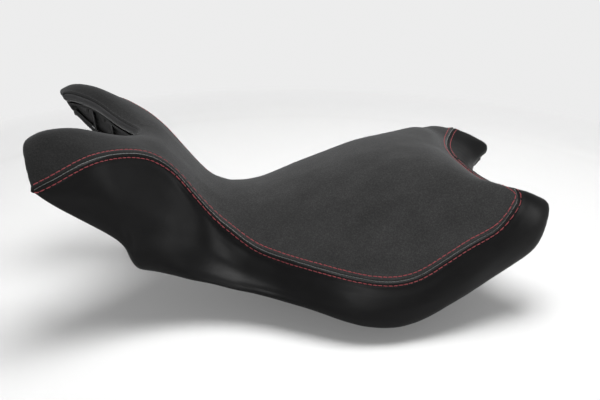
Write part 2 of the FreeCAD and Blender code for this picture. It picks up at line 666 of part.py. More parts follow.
def pan_layer(up, down, stations=PAN_X):
    """Closed layer following the pan, from up above its upper face to down below it."""
    sections = []
    for x in stations:
        half = pan_half(x)
        normals = []    # pointing down and inward
        for k in range(5):
            a, b = half[max(0, k - 1)], half[k + 1]
            dy, dz = b[0] - a[0], b[1] - a[1]
            size = hypot(dy, dz)
            normals.append((-dz / size, dy / size))
        normals.append((0.0, -1.0))
        upper = [add(p, n, -up) for p, n in zip(half, normals)]
        lower = [add(p, n, down) for p, n in zip(half, normals)]
        outline = upper + [(-y, z) for y, z in reversed(upper[:-1])]
        outline += [(-y, z) for y, z in lower] + list(reversed(lower[:-1]))
        sections.append((x, outline))
    return section_loft(sections)


def deck_z(x, y):
    """Height of the pan's upper face."""
    points = sorted(pan_half(x))
    for a, b in zip(points, points[1:]):
        if a[0] <= abs(y) <= b[0]:
            return a[1] + (b[1] - a[1]) * (abs(y) - a[0]) / (b[0] - a[0])


def add_ribs(pan):
    zone = pan_layer(-RIB_BITE, 15, PAN_X[13:-5])
    ribs = [Part.makeBox(372, RIB_THICK, 220, Vector(-150, y - RIB_THICK / 2, 20))
            for y in LONG_RIB_Y]
    ribs += [Part.makeBox(RIB_THICK, 2 * half, 220, Vector(x - RIB_THICK / 2, -half, 20))
             for x, half in CROSS_RIBS]
    for rib in ribs:
        pan = pan.fuse(rib.common(zone))
    return pan


def add_wing_ribs(pan):
    zone = pan_layer(-RIB_BITE, 9, PAN_X[2:12])
    inner, outer = WING_RIB_Y
    for x in WING_RIB_X:
        for start in (inner, -outer):
            corner = Vector(x - WING_RIB_THICK / 2, start, 160)
            rib = Part.makeBox(WING_RIB_THICK, outer - inner, 80, corner).common(zone)
            pan = pan.fuse(rib.cut(gap_prism(4.0)))
    return pan


def fin_span(centre, direction):
    """Extent of a fin on one axis; direction is 0 across its thickness."""
    if direction == 0:
        return centre - FIN_HALF, centre + FIN_HALF
    start = centre + direction * FIN_START
    return start, start + direction * FIN_LENGTH


def add_foot_posts(pan):
    """Hollow posts for the feet, each with four fins."""
    for x, y in FEET:
        deck = deck_z(x, y)
        top = deck - DECK_BITE
        post = cylinder(FOOT_POST_R, top - 5.4, x, y, 5.4)
        pan = pan.fuse(post.cut(cylinder(FOOT_POST_R - POST_WALL, top - 10, x, y, 4)))
        zone = pan_layer(-RIB_BITE, 34, [q for q in PAN_X if abs(q - x) < 45])
        for dx, dy in ((1, 0), (-1, 0), (0, 1), (0, -1)):
            x0, x1 = fin_span(x, dx)
            y0, y1 = fin_span(y, dy)
            fin = prism([(x0, y0), (x1, y0), (x1, y1), (x0, y1)], FOOT_H + 6, deck + 8)
            pan = pan.fuse(fin.common(zone))
    return pan


def add_bosses(pan):
    """Screw bosses above the plates, bored for their inserts and screws."""
    for x, y, z in BOSSES:
        pan = pan.fuse(cylinder(BOSS_R, deck_z(x, y) - DECK_BITE - z, x, y, z))
    for x, y, z in BOSSES:
        pan = pan.cut(cylinder(INSERT_R, 9.0, x, y, z))
        pan = pan.cut(cylinder(SCREW_R + .3, 12.0, x, y, z))
    return pan


def base_pan():
    pan = cut_front(pan_layer(0, PAN_THICK), 3.2, -3.0).cut(hem_prism(4.6))
    pan = add_bosses(add_foot_posts(add_wing_ribs(add_ribs(pan))))
    # rib ends cut off from the pan would leave loose solids, which are dropped below
    if len(pan.Solids) == 1:
        pan = pan.removeSplitter()
    return largest(pan)


# ---- foam core ----
# clearance cutter at the rear notch: z, share of the way down the side skin
NOTCH_LEVELS = [(230, 0), (153, 0), (149, .25), (140, .5), (129, .75), (116, 1.0), (40, 1.0)]
NOTCH_CLEAR = 4.8
NOTCH_FIRST = 23.8       # station


def foam_outline(top, side, bottom):
    right = top + side + bottom
    return right + [(-y, z) for y, z in reversed(right[1:-1])]


def foam_section(x):
    half = seam_half_width(x) - FOAM_SIDE
    top = [(t * half, top_z(x, t * half) - FOAM_DROP) for t in FOAM_SHARES]
    side = []
    for down in (.25, .5, .7):
        y, z = side_at_x(x, down)
        side.append((y - FOAM_SIDE, z))
    # clearances from the pan's outer three points and its inner three
    shifts = [(.2, 1.6), (.7, 1.0), (.5, 1.2)] + [(0, FOAM_LIFT)] * 3
    bottom = [add(p, shift) for p, shift in zip(pan_half(x), shifts)]
    return x, foam_outline(top, side, bottom)


def lobe_section(x, top, side):
    return x, foam_outline(top, side, [(y, z + FOAM_LIFT) for y, z in pan_half(x)])


def foam_notch():
    """Everything behind the skin of the rear notch, with clearance, following its slope."""
    wires = []
    for z, down in NOTCH_LEVELS:
        half = []
        for k in range(11):
            station = NOTCH_FIRST + k * (LAST - NOTCH_FIRST) / 10.0
            outward = hem_frame(station)[4]
            half.append(add(side_point(station, down), outward, -NOTCH_CLEAR)[:2])
        half[-1] = (half[-1][0], 0.0)
        half = [(half[0][0], 190.0)] + half
        plan = half + mirrored(half[:-1]) + [(420, -190), (420, 190)]
        wires.append(polygon([(x, y, z) for x, y in plan]))
    return Part.makeLoft(wires, True, True)


def foam_core():
    sections = [foam_section(x) for x in FOAM_X]
    sections += [lobe_section(*lobe) for lobe in FOAM_LOBES]
    foam = cut_front(section_loft(sections), 5.5, -6, 60, 330)
    return largest(foam.cut(foam_notch()))


# ---- thread ----
def stitches(points, radius, pitch, stitch_length):
    """Separate short lengths of thread laid end to end along a path."""
    along = path_lengths(points)
    count = int(along[-1] / pitch)
    pad = (along[-1] - count * pitch) / 2

    def at(distance):
        j = 0
        while j < len(along) - 2 and along[j + 1] < distance:
            j += 1
        t = (distance - along[j]) / (along[j + 1] - along[j])
        return Vector(*add(points[j], sub(points[j + 1], points[j]), t))

    threads = []
    for k in range(count):
        start = at(pad + k * pitch + (pitch - stitch_length) / 2)
        end = at(pad + k * pitch + (pitch + stitch_length) / 2)
        threads.append(Part.makeCylinder(radius, (end - start).Length, start, end - start))
    return Part.makeCompound(threads)


def on_seam(station, seam, inward):
    """In the seam, between the two panels."""
    x, y, z = seam
    return (x - inward[0] * .15, y - inward[1] * .15, (z + top_z(x, y)) / 2 - .6)


def above_seam(station, seam, inward):
    """On the upper panel, STITCH_OFFSET from the seam measured along the slope."""
    x, y, _ = seam
    rise = top_z(x + 2 * inward[0], y + 2 * inward[1]) - top_z(x, y)
    slope = rise / 2
    stretch = sqrt(1 + slope * slope)
    reach = STITCH_OFFSET / stretch
    x, y = x + reach * inward[0], y + reach * inward[1]
    shift = slope / stretch * .1
    return (x - inward[0] * shift, y - inward[1] * shift, top_z(x, y) + .35)


def below_seam(station, seam, inward):
    """On the side panel, STITCH_OFFSET down from the seam."""
    panel_length = length(sub(side_point(station, .02), seam)) / .02
    x, y, z = side_point(station, min(.6, STITCH_OFFSET / max(panel_length, 8.0)))
    return (x - inward[0] * .4, y - inward[1] * .4, z + .1)


def seam_path(place, first=0.55):
    """Path beside the main seam, right round the seat, from the station first."""
    half = []
    count = int(round((LAST - first) / .3))
    for k in range(count + 1):
        station = first + (LAST - first) * k / float(count)
        a = side_point(max(0, station - .15), 0)
        b = side_point(min(LAST, station + .15), 0)
        tx, ty = b[0] - a[0], b[1] - a[1]
        size = hypot(tx, ty)
        inward = (-1.0, 0.0) if k == count else (ty / size, -tx / size)
        half.append(place(station, side_point(station, 0), inward))
    half[-1] = (half[-1][0], 0.0, half[-1][2])
    return half + mirrored(half[:-1])


# ---- staples ----
STAPLE_PITCH = 24.0
STAPLE_LENGTH, STAPLE_WIDTH, STAPLE_THICK = 10.0, .9, .55
STAPLE_FIRST = 1.2       # station
STAPLE_STEPS = 1120


def cover_staples():
    """Staples through the turned-under cover, all round the pan lip."""
    staples = []
    travelled, last = STAPLE_PITCH / 2, None
    for k in range(STAPLE_STEPS + 1):
        station = STAPLE_FIRST + k * (LAST - STAPLE_FIRST) / float(STAPLE_STEPS)
        hem, tangent, inward, normal, _ = hem_frame(station)
        if last is not None:
            travelled += length(sub(hem, last))
        last = hem
        if travelled < STAPLE_PITCH or hem[1] <= 7 or tuck_share(station) <= .9:
            continue
        travelled = 0.0
        centre = add(add(lip_point(station), inward, 8.2), normal, 5.25)
        across = unit(cross(normal, tangent))
        out = unit(cross(tangent, across))
        values = [v for row in zip(tangent, across, out, centre) for v in row]
        placing = FreeCAD.Matrix(*(values + [0, 0, 0, 1]))
        corner = Vector(-STAPLE_LENGTH / 2, -STAPLE_WIDTH / 2, 0)
        staple = Part.makeBox(STAPLE_LENGTH, STAPLE_WIDTH, STAPLE_THICK, corner)
        staple = staple.transformGeometry(placing)
        staples += [staple, mirror(staple)]
    return Part.makeCompound(staples)


# ---- steel plates ----
TONGUE_HALF = 22
TONGUE_LIP = 2.2         # thickness of the stiffening lips


def front_tongue():
    tongue = Part.makeBox(72, 2 * TONGUE_HALF, PLATE_THICK, Vector(-128, -TONGUE_HALF, TONGUE_Z))
    front_corners = [e for e in tongue.Edges
                     if abs(e.tangentAt(e.FirstParameter).z) > .9 and e.CenterOfMass.x < -120]
    tongue = tongue.makeFillet(9, front_corners)
    tongue = tongue.cut(cylinder(TONGUE_HOLE_R, 9, -114, 0, TONGUE_Z - 3))
    for x, y in TONGUE_SCREWS:
        tongue = tongue.cut(cylinder(SCREW_HOLE_R, 9, x, y, TONGUE_Z - 3))
    # stiffening lips along both long edges
    for start in (TONGUE_HALF - TONGUE_LIP, -TONGUE_HALF):
        tongue = tongue.fuse(Part.makeBox(58, TONGUE_LIP, 7, Vector(-114, start, TONGUE_Z - 4)))
    return tongue.removeSplitter()


def z_plate(x_start, x_web, x_end, z_low, z_high, thick, half, inner_r=2.0):
    """Plate bent twice: upper flange x_start to x_web, web down, lower flange on to x_end."""
    outer_r = inner_r + thick
    diagonal = sqrt(.5)
    upper_x, upper_z = x_web - inner_r, z_high - inner_r            # upper bend centre
    lower_x, lower_z = x_web + thick + inner_r, z_low + thick + inner_r

    def line(xa, za, xb, zb):
        return Part.makeLine(Vector(xa, -half, za), Vector(xb, -half, zb))

    def arc(xa, za, xc, zc, reach, xb, zb):
        """Arc from a to b; its middle is reach from the centre c along x and z."""
        middle = Vector(xc + reach, -half, zc + reach)
        return Part.Arc(Vector(xa, -half, za), middle, Vector(xb, -half, zb)).toShape()

    edges = [
        line(x_start, z_high, upper_x, z_high),
        arc(upper_x, z_high, upper_x, upper_z, diagonal * inner_r, x_web, upper_z),
        line(x_web, upper_z, x_web, lower_z),
        arc(x_web, lower_z, lower_x, lower_z, -diagonal * outer_r, lower_x, z_low),
        line(lower_x, z_low, x_end, z_low),
        line(x_end, z_low, x_end, z_low + thick),
        line(x_end, z_low + thick, lower_x, z_low + thick),
        arc(lower_x, z_low + thick, lower_x, lower_z, -diagonal * inner_r,
            x_web + thick, lower_z),
        line(x_web + thick, lower_z, x_web + thick, upper_z),
        arc(x_web + thick, upper_z, upper_x, upper_z, diagonal * outer_r,
            upper_x, z_high + thick),
        line(upper_x, z_high + thick, x_start, z_high + thick),
        line(x_start, z_high + thick, x_start, z_high),
    ]
    return Part.Face(Part.Wire(edges)).extrude(Vector(0, 2 * half, 0))


def rear_bracket():
    bracket = z_plate(167, 194, BRACKET_X + 22, BRACKET_Z, BRACKET_TOP_Z, PLATE_THICK, 46)
    corners = [e for e in bracket.Edges
               if abs(e.BoundBox.ZLength - PLATE_THICK) < .1
               and e.BoundBox.XLength < .1 and e.BoundBox.YLength < .1]
    bracket = bracket.makeFillet(8, corners)
    for y in (BRACKET_PITCH / 2, -BRACKET_PITCH / 2):
        bracket = bracket.cut(cylinder(BRACKET_HOLE_R, 12, BRACKET_X + 9, y, BRACKET_Z - 4))
    for x, y in BRACKET_SCREWS:
        bracket = bracket.cut(cylinder(SCREW_HOLE_R, 12, x, y, BRACKET_TOP_Z - 4))
    return bracket.cut(cylinder(8.5, 12, 180, 0, BRACKET_TOP_Z - 4))


# ---- fixings ----
HEX_R = 2.31             # corner radius of the screw socket


def screw(x, y, z):
    """Flanged button screw entering upward; z is the face it bears on."""
    body = cylinder(6.4, 1.2, x, y, z - 1.2).fuse(cylinder(4.9, 2.6, x, y, z - 3.8))
    body = body.fuse(cylinder(SCREW_R - .05, 10.5, x, y, z - .5))
    corners = [(x + HEX_R * cos(a * pi / 3), y + HEX_R * sin(a * pi / 3), z - 4.2)
               for a in range(6)]
    socket = Part.Face(polygon(corners)).extrude(Vector(0, 0, 2.4))
    return body.cut(socket).removeSplitter()


def screws(places, plate_z):
    return Part.makeCompound([screw(x, y, plate_z - WASHER_THICK) for x, y in places])


def washers(places, plate_z):
    return [ring(x, y, plate_z - WASHER_THICK, 7.5, 3.3, WASHER_THICK) for x, y in places]


def inserts(places, plate_z):
    return Part.makeCompound([ring(x, y, plate_z + PLATE_THICK + .1,
                                   INSERT_R - .05, SCREW_R + .02, 8.4) for x, y in places])


# ---- rubber ----
# rest pad on the underside of a wing: x, distance from the middle
PAD_PLAN = [(-243, 92), (-224, 89), (-224, 74), (-243, 78)]


def foot(x, y):
    """Round foot with a pocket for its post."""
    body = cylinder(FOOT_R, FOOT_H, x, y, 0)
    rims = [e for e in body.Edges
            if abs(e.CenterOfMass.z) < .1 or abs(e.CenterOfMass.z - FOOT_H) < .1]
    body = body.makeFillet(2.0, rims)
    return body.cut(cylinder(FOOT_POST_R + .15, FOOT_H, x, y, 5.2))


def feet(places):
    return Part.makeCompound([foot(x, y) for x, y in places])


def wing_rest_pads():
    zone = pan_layer(-PAN_THICK - .15, 7.5, PAN_X[2:10])
    pads = []
    for side in (1, -1):
        block = prism([(x, side * y) for x, y in PAD_PLAN], 150, 260)
        pads.append(largest(block.common(zone)))
    return Part.makeCompound(pads)


# ---- write the parts ----
os.makedirs("parts", exist_ok=True)

save(top_panel(), "top_panel")
save(moisture_barrier(), "moisture_barrier")
right_side = side_panel()
save(right_side, "right_side_panel")
save(mirror(right_side), "left_side_panel")
save(gap_strip(), "gap_strip")
save(base_pan(), "base_pan")
save(foam_core(), "foam_core")

save(stitches(seam_path(on_seam), .4, 6.0, 4.4), "seam_joining_thread")
save(stitches(seam_path(above_seam), THREAD_R, STITCH_PITCH, STITCH_LEN), "upper_stitch_row")
save(stitches(seam_path(below_seam, 1.2), THREAD_R, STITCH_PITCH, STITCH_LEN),
     "lower_stitch_row")
save(stitches(gap_row(3.2, -.35), .35, 5.0, 3.8), "gap_strip_stitches")
save(cover_staples(), "cover_staples")

save(front_tongue(), "front_tongue")
save(rear_bracket(), "rear_bracket")
save(screws(TONGUE_SCREWS, TONGUE_Z), "tongue_screws")
save(screws(BRACKET_SCREWS, BRACKET_TOP_Z), "bracket_screws")
save(Part.makeCompound(washers(TONGUE_SCREWS, TONGUE_Z)
                       + washers(BRACKET_SCREWS, BRACKET_TOP_Z)), "screw_washers")
save(inserts(TONGUE_SCREWS, TONGUE_Z), "front_inserts")
save(inserts(BRACKET_SCREWS, BRACKET_TOP_Z), "rear_inserts")
save(feet(FEET[:2]), "front_feet")
save(feet(FEET[2:]), "rear_feet")
save(wing_rest_pads(), "wing_rest_pads")
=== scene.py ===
import bpy
import math
import numpy as np
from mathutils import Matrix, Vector
from mathutils.bvhtree import BVHTree


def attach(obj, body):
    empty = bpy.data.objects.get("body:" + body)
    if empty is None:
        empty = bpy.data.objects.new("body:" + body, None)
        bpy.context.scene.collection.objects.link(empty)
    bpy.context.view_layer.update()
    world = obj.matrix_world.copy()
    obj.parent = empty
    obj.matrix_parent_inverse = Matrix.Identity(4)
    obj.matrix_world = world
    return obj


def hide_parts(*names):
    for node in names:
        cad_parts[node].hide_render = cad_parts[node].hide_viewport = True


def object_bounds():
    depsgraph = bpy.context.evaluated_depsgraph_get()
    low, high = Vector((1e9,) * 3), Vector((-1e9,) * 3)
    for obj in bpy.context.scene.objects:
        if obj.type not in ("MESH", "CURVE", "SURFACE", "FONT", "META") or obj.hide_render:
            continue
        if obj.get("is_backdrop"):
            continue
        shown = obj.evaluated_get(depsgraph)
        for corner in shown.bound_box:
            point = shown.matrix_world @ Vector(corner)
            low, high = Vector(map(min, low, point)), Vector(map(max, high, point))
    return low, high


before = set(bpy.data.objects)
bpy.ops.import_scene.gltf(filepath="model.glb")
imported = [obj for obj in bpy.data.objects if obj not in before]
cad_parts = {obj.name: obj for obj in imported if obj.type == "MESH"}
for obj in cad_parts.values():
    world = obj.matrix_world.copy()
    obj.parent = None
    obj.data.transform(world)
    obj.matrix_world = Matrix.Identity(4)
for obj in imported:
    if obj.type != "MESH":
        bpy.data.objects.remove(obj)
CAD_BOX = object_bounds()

MM = 0.001

# ----------------------------------------------------------------------------
# the seat's skin, in millimetres: the same sections as the CAD model
# ----------------------------------------------------------------------------
TOP = [
    (-284, [(0, 213), (45, 219), (72, 227.5), (85, 230), (95, 230.5), (105, 225), (115, 213), (136, 186)]),
    (-278, [(0, 214), (45, 221), (74, 231), (86, 234), (95, 235), (105, 230), (116, 217), (133, 190)]),
    (-255, [(0, 214), (40, 221.5), (66, 233), (79, 239), (92, 239.5), (104, 233), (115, 220.5), (127, 201)]),
    (-235, [(0, 210), (30, 216.5), (53, 227.5), (67, 234.5), (81, 237), (95, 232.5), (109, 223.5), (121, 210)]),
    (-208, [(0, 206), (20, 208.5), (34, 213.5), (50, 220.5), (65, 224), (78, 223.3), (91, 220), (102.5, 215.5)]),
    (-188, [(0, 205.5), (17, 207), (33, 211), (48, 214.5), (60, 215.5), (70, 215), (78, 213.2), (84.3, 211)]),
    (-172, [(0, 205), (15, 205.5), (28, 206.8), (40, 208), (50, 208.3), (58, 207.8), (65, 206.3), (70.2, 204.6)]),
    (-155, [(0, 197.5), (13, 197.5), (25, 197.5), (35, 197.2), (43, 196.5), (49, 195.5), (54, 194.1), (58.3, 192.4)]),
    (-141, [(0, 182), (12, 182), (23, 181.7), (32, 181.2), (39, 180.5), (44.5, 179.6), (48.5, 178.5), (51.8, 177.2)]),
    (-126, [(0, 165.3), (12, 165), (23, 164.2), (32, 162.9), (39, 161.3), (44.5, 159.6), (48.5, 158.2), (51.5, 156.9)]),
    (-111, [(0, 148.3), (13, 147.8), (25, 146.2), (34, 144), (41, 141.7), (46.5, 139.6), (50.5, 138), (54.2, 136.5)]),
    (-96, [(0, 136.8), (14, 136.2), (27, 134), (37, 131), (45, 127.8), (51, 125), (56, 122.6), (60.5, 120.2)]),
    (-80, [(0, 130.5), (14, 129.8), (28, 127.2), (39, 123.8), (49, 119.5), (57, 115), (64, 111), (69, 108)]),
    (-59, [(0, 129.5), (16, 128.6), (31, 125.5), (43, 121), (54, 114.8), (64, 107), (72, 99.3), (78.5, 92.5)]),
    (-35, [(0, 132.8), (18, 131.8), (36, 128), (50, 121.8), (62, 113.8), (74, 104), (84, 94), (92, 85)]),
    (-15, [(0, 140), (21, 138.6), (41, 133.6), (56, 126.3), (70, 116.8), (84, 104.7), (95, 93.5), (105, 83)]),
    (15, [(0, 151), (24, 149.6), (46, 143.6), (64, 134.2), (82, 121), (98, 106), (111, 92.5), (122.5, 80.3)]),
    (45, [(0, 160.2), (26, 158.8), (50, 152.7), (70, 142.5), (89, 127.5), (107, 108.5), (122, 91.5), (135, 76)]),
    (86, [(0, 172), (29, 170.8), (56, 164.8), (76, 154.5), (96, 136.8), (115, 111.8), (131, 90.5), (145, 72)]),
    (120, [(0, 176.8), (29, 175.8), (58, 170.6), (78, 161.5), (97, 144.5), (115, 119), (130, 97.5), (144.5, 77)]),
    (150, [(0, 177.5), (28, 177.5), (56, 175.6), (76, 169.3), (94, 155.5), (111, 133), (126, 111.5), (140, 92)]),
    (175, [(0, 170.8), (27, 172.2), (52, 174), (71, 173.2), (88, 167.8), (105, 151.5), (120, 127.5), (135, 105)]),
    (199.5, [(0, 156), (25, 156.8), (48, 158.5), (68, 160.5), (85, 163.3), (99, 165.2), (114, 147), (130, 115)]),
    (217, [(0, 141), (28, 143), (52, 147), (70, 151), (86, 156.3), (98, 162), (110, 156), (125, 125)]),
    (236, [(0, 125), (28, 128), (52, 133), (72, 140), (90, 149.5), (101, 157.5), (108, 158), (114, 150)]),
]
SEAM_XW = [(-284, 136), (-278, 133), (-272, 130), (-261, 128), (-249, 126), (-235, 121), (-221, 113), (-206, 101.2),
           (-192, 87.8), (-177, 74.5), (-163, 63.5), (-150, 55.6), (-141, 51.8), (-132, 51), (-126, 51.5), (-117, 52.9),
           (-106, 55.8), (-96, 60.5), (-85, 66.3), (-74, 71.8), (-56, 80), (-35, 92), (-15, 105), (5, 117), (25, 127),
           (45, 135), (65, 141), (86, 145), (107, 145.7), (128, 144), (145, 141), (162, 138), (179, 134),
           (199, 130), (217, 125), (228, 121), (234, 117), (236, 114)]
BAND = [
    [(-272, 130, 193.2), (-272, 130.2, 192.3), (-272, 130.2, 191.5), (-271.8, 130, 190.8), (-271.5, 129.5, 190)],
    [(-258, 127.5, 200), (-258, 129, 193), (-258, 129.4, 187), (-258, 128.8, 181.5), (-258, 127, 176)],
    [(-235, 121, 209.9), (-235, 123.5, 196), (-235, 124, 182), (-235, 122, 168), (-235, 119, 154)],
    [(-212, 106.2, 215.4), (-212, 112, 195), (-212, 115.2, 174), (-212, 114.8, 153), (-212, 112, 133)],
    [(-196, 91.8, 213.2), (-196, 100.8, 186), (-195.5, 107, 160), (-195, 109, 134), (-194.5, 108, 112)],
    [(-184, 80.6, 209.5), (-184.5, 91.8, 180), (-185, 100, 149), (-186, 104, 118), (-187, 105, 88)],
    [(-170, 69, 203.2), (-170.5, 80.5, 173), (-171, 91, 142), (-171.5, 98.4, 110), (-172, 102, 79)],
    [(-149, 55.1, 186.2), (-149, 66, 157), (-149, 78.8, 127), (-149, 91, 98), (-149, 100, 71)],
    [(-127, 51.4, 158.3), (-127, 58.5, 134), (-127, 70, 110), (-127, 85, 85), (-127, 99, 62)],
    [(-105, 56.1, 129.6), (-105, 60.5, 111.5), (-105, 69.8, 92), (-105, 84, 73), (-105, 100, 56)],
    [(-80, 68.9, 107.9), (-80, 71, 93), (-80, 78, 77.5), (-80, 90, 63), (-80, 104, 49)],
    [(-59, 78.6, 92.8), (-59, 80.8, 81), (-59, 87.8, 70), (-59, 98.4, 58), (-59, 110, 46)],
    [(-30, 95.2, 84.4), (-30, 97.8, 74), (-30, 104.5, 64), (-30, 113, 53), (-30, 122, 42)],
    [(2, 115.3, 81.6), (2, 119.8, 71.5), (2, 126.4, 61), (2, 133, 50), (2, 138, 38)],
    [(35, 131, 77.8), (35, 137, 68), (35, 144, 57), (35, 150, 45), (35, 153, 31)],
    [(63, 140.6, 73.4), (63, 147, 62), (63, 153.5, 50), (63, 159, 37.5), (63, 160, 25)],
    [(95, 145.5, 72.5), (95, 151.3, 60), (95, 156.8, 47.5), (95, 160.7, 35), (95, 160.5, 22.5)],
    [(125, 144.3, 79.2), (125, 150, 65), (125, 155, 51), (125, 157.5, 38), (125, 156, 27)],
    [(155, 139.3, 94.8), (155, 145, 79), (155, 149.5, 64), (155, 151.5, 51), (155, 150, 39)],
    [(184, 133, 108.8), (184, 139, 92), (184, 143.3, 75), (184, 144, 61), (184, 141, 50)],
    [(208, 127.8, 119), (208, 133, 102), (209, 136, 85), (209, 135.5, 71), (209, 132.5, 60)],
    [(225, 122.3, 134.2), (232, 126, 117), (240, 127.5, 101.5), (246, 126, 88), (247, 122, 77)],
    [(234, 117, 145.3), (247, 119, 130.5), (261, 119.5, 117.5), (269.5, 118, 104), (267, 115.5, 92)],
    [(236, 112.5, 149.7), (254, 110.8, 143.5), (271, 108.5, 135.5), (279, 107, 124), (275.5, 105, 111)],
    [(234, 108, 156.3), (254, 103, 151), (273, 98.8, 141), (283, 97.5, 132), (279, 96.5, 120.5)],
    [(228, 98, 156.6), (246, 93, 150.3), (262, 89.5, 143), (272.5, 87.8, 133.5), (271.5, 87.3, 121.5)],
    [(218, 80, 153), (231, 77, 148.3), (245, 74.5, 140.2), (254.5, 72, 130), (256, 71, 118)],
    [(208.5, 55, 153.2), (218, 53, 149.2), (231, 50.5, 141), (240, 48, 129.5), (243.5, 46.5, 116.8)],
    [(202, 28, 155), (211.5, 27, 150.8), (224, 26, 140), (232.5, 24.5, 129), (236, 23.5, 116.3)],
    [(199.5, 0, 155.8), (209, 0, 151.3), (221, 0, 140), (229.5, 0, 129), (233, 0, 116)],
]
GAP = [(-292, 84), (-282, 79), (-273, 75), (-259, 67.5), (-239, 55), (-226, 46), (-208, 32), (-195, 21.5), (-187, 14), (-182, 7), (-180.5, 0)]
FRONT = [(-273, 75), (-277, 80), (-281, 88), (-283, 98), (-282.5, 106), (-280, 115), (-276.5, 122), (-272, 130)]
PHI = [60, 70, 78, 82, 84, 86, 84, 78, 68, 50, 37, 33, 28, 25, 28, 29, 32, 34, 34, 33, 29, 23, 15, 10, 8, 8, 8, 8, 8, 8]
STITCH_OFFSET = 4.8
STITCH_PITCH = 5.6


# ----------------------------------------------------------------------------
# splines
# ----------------------------------------------------------------------------
class CS:
    """Cubic spline through (x, y), y may have several columns. ends: 'natural' or a pair of end slopes (None for natural)."""

    def __init__(self, x, y, ends=(None, None)):
        self.x = np.asarray(x, float)
        y = np.asarray(y, float)
        self.one = y.ndim == 1
        self.y = y[:, None] if self.one else y
        n = len(self.x)
        h = np.diff(self.x)
        A = np.zeros((n, n))
        B = np.zeros_like(self.y)
        for i in range(1, n - 1):
            A[i, i - 1], A[i, i], A[i, i + 1] = h[i - 1], 2 * (h[i - 1] + h[i]), h[i]
            B[i] = 6 * ((self.y[i + 1] - self.y[i]) / h[i] - (self.y[i] - self.y[i - 1]) / h[i - 1])
        A[0, 0] = A[-1, -1] = 1
        if ends[0] is not None:
            A[0, 0], A[0, 1] = 2 * h[0], h[0]
            B[0] = 6 * ((self.y[1] - self.y[0]) / h[0] - ends[0])
        if ends[1] is not None:
            A[-1, -1], A[-1, -2] = 2 * h[-1], h[-1]
            B[-1] = 6 * (ends[1] - (self.y[-1] - self.y[-2]) / h[-1])
        self.M = np.linalg.solve(A, B)
        self.h = h

    def __call__(self, q):
        q = np.asarray(q, float)
        shape = q.shape
        q = q.ravel()
        i = np.clip(np.searchsorted(self.x, q, side="right") - 1, 0, len(self.x) - 2)
        h = self.h[i][:, None]
        qq = np.clip(q, self.x[0], self.x[-1])
        a = (self.x[i + 1] - qq)[:, None] / h
        b = (qq - self.x[i])[:, None] / h
        r = a * self.y[i] + b * self.y[i + 1] + ((a ** 3 - a) * self.M[i] + (b ** 3 - b) * self.M[i + 1]) * h ** 2 / 6
        over = (q - qq)[:, None]
        if np.any(over != 0):
            d = (self.y[i + 1] - self.y[i]) / h + ((1 - 3 * a ** 2) * self.M[i] + (3 * b ** 2 - 1) * self.M[i + 1]) * h / 6
            r = r + over * d
        return r.reshape(shape) if self.one else r.reshape(shape + (self.y.shape[1],))


def pchip(x, y):
    """Monotone cubic through the points, as a callable."""
    x, y = np.asarray(x, float), np.asarray(y, float)
    h, d = np.diff(x), np.diff(y) / np.diff(x)
    m = np.zeros(len(x))
    for i in range(1, len(x) - 1):
        if d[i - 1] * d[i] > 0:
            w1, w2 = 2 * h[i] + h[i - 1], h[i] + 2 * h[i - 1]
            m[i] = (w1 + w2) / (w1 / d[i - 1] + w2 / d[i])
    m[0], m[-1] = d[0], d[-1]

    def f(q):
        q = np.clip(np.asarray(q, float), x[0], x[-1])
        i = np.clip(np.searchsorted(x, q, side="right") - 1, 0, len(x) - 2)
        t = (q - x[i]) / h[i]
        return ((2 * t ** 3 - 3 * t ** 2 + 1) * y[i] + (t ** 3 - 2 * t ** 2 + t) * m[i] * h[i]
                + (-2 * t ** 3 + 3 * t ** 2) * y[i + 1] + (t ** 3 - t ** 2) * m[i + 1] * h[i])
    return f


def arclen(p):
    return np.r_[0, np.cumsum(np.linalg.norm(np.diff(p, axis=0), axis=1))]


def resample(p, s):
    """Polyline p at arc lengths s."""
    a = arclen(p)
    return np.stack([np.interp(s, a, p[:, k]) for k in range(p.shape[1])], -1)


def smooth1(a, k, axis=0, keep_ends=True):
    """Repeated 1-2-1 smoothing along an axis, ends kept."""
    a = np.moveaxis(a.copy(), axis, 0)
    for _ in range(k):
        b = a.copy()
        b[1:-1] = (a[:-2] + 2 * a[1:-1] + a[2:]) / 4
        a = b
    return np.moveaxis(a, 0, axis)


seam_w = CS([p[0] for p in SEAM_XW], [p[1] for p in SEAM_XW])
NT = 12
TAUS = np.linspace(0, 1, NT + 1)
rows = []
for x_, pts_ in TOP:
    c = CS([p[0] / pts_[-1][0] for p in pts_], [p[1] for p in pts_], ends=(0.0, None))
    rows.append(c(TAUS))
Z_X = CS([r[0] for r in TOP], np.array(rows))
_A = np.zeros((NT + 1, NT + 1))
_B = np.zeros((NT + 1, NT + 1))
_h = 1.0 / NT
for i in range(1, NT):
    _A[i, i - 1], _A[i, i], _A[i, i + 1] = _h, 4 * _h, _h
    _B[i, i - 1], _B[i, i], _B[i, i + 1] = 6 / _h, -12 / _h, 6 / _h
_A[0, 0], _A[0, 1] = 2 * _h, _h
_B[0, 0], _B[0, 1] = -6 / _h, 6 / _h
_A[-1, -1] = 1
TAU_OP = np.linalg.solve(_A, _B)


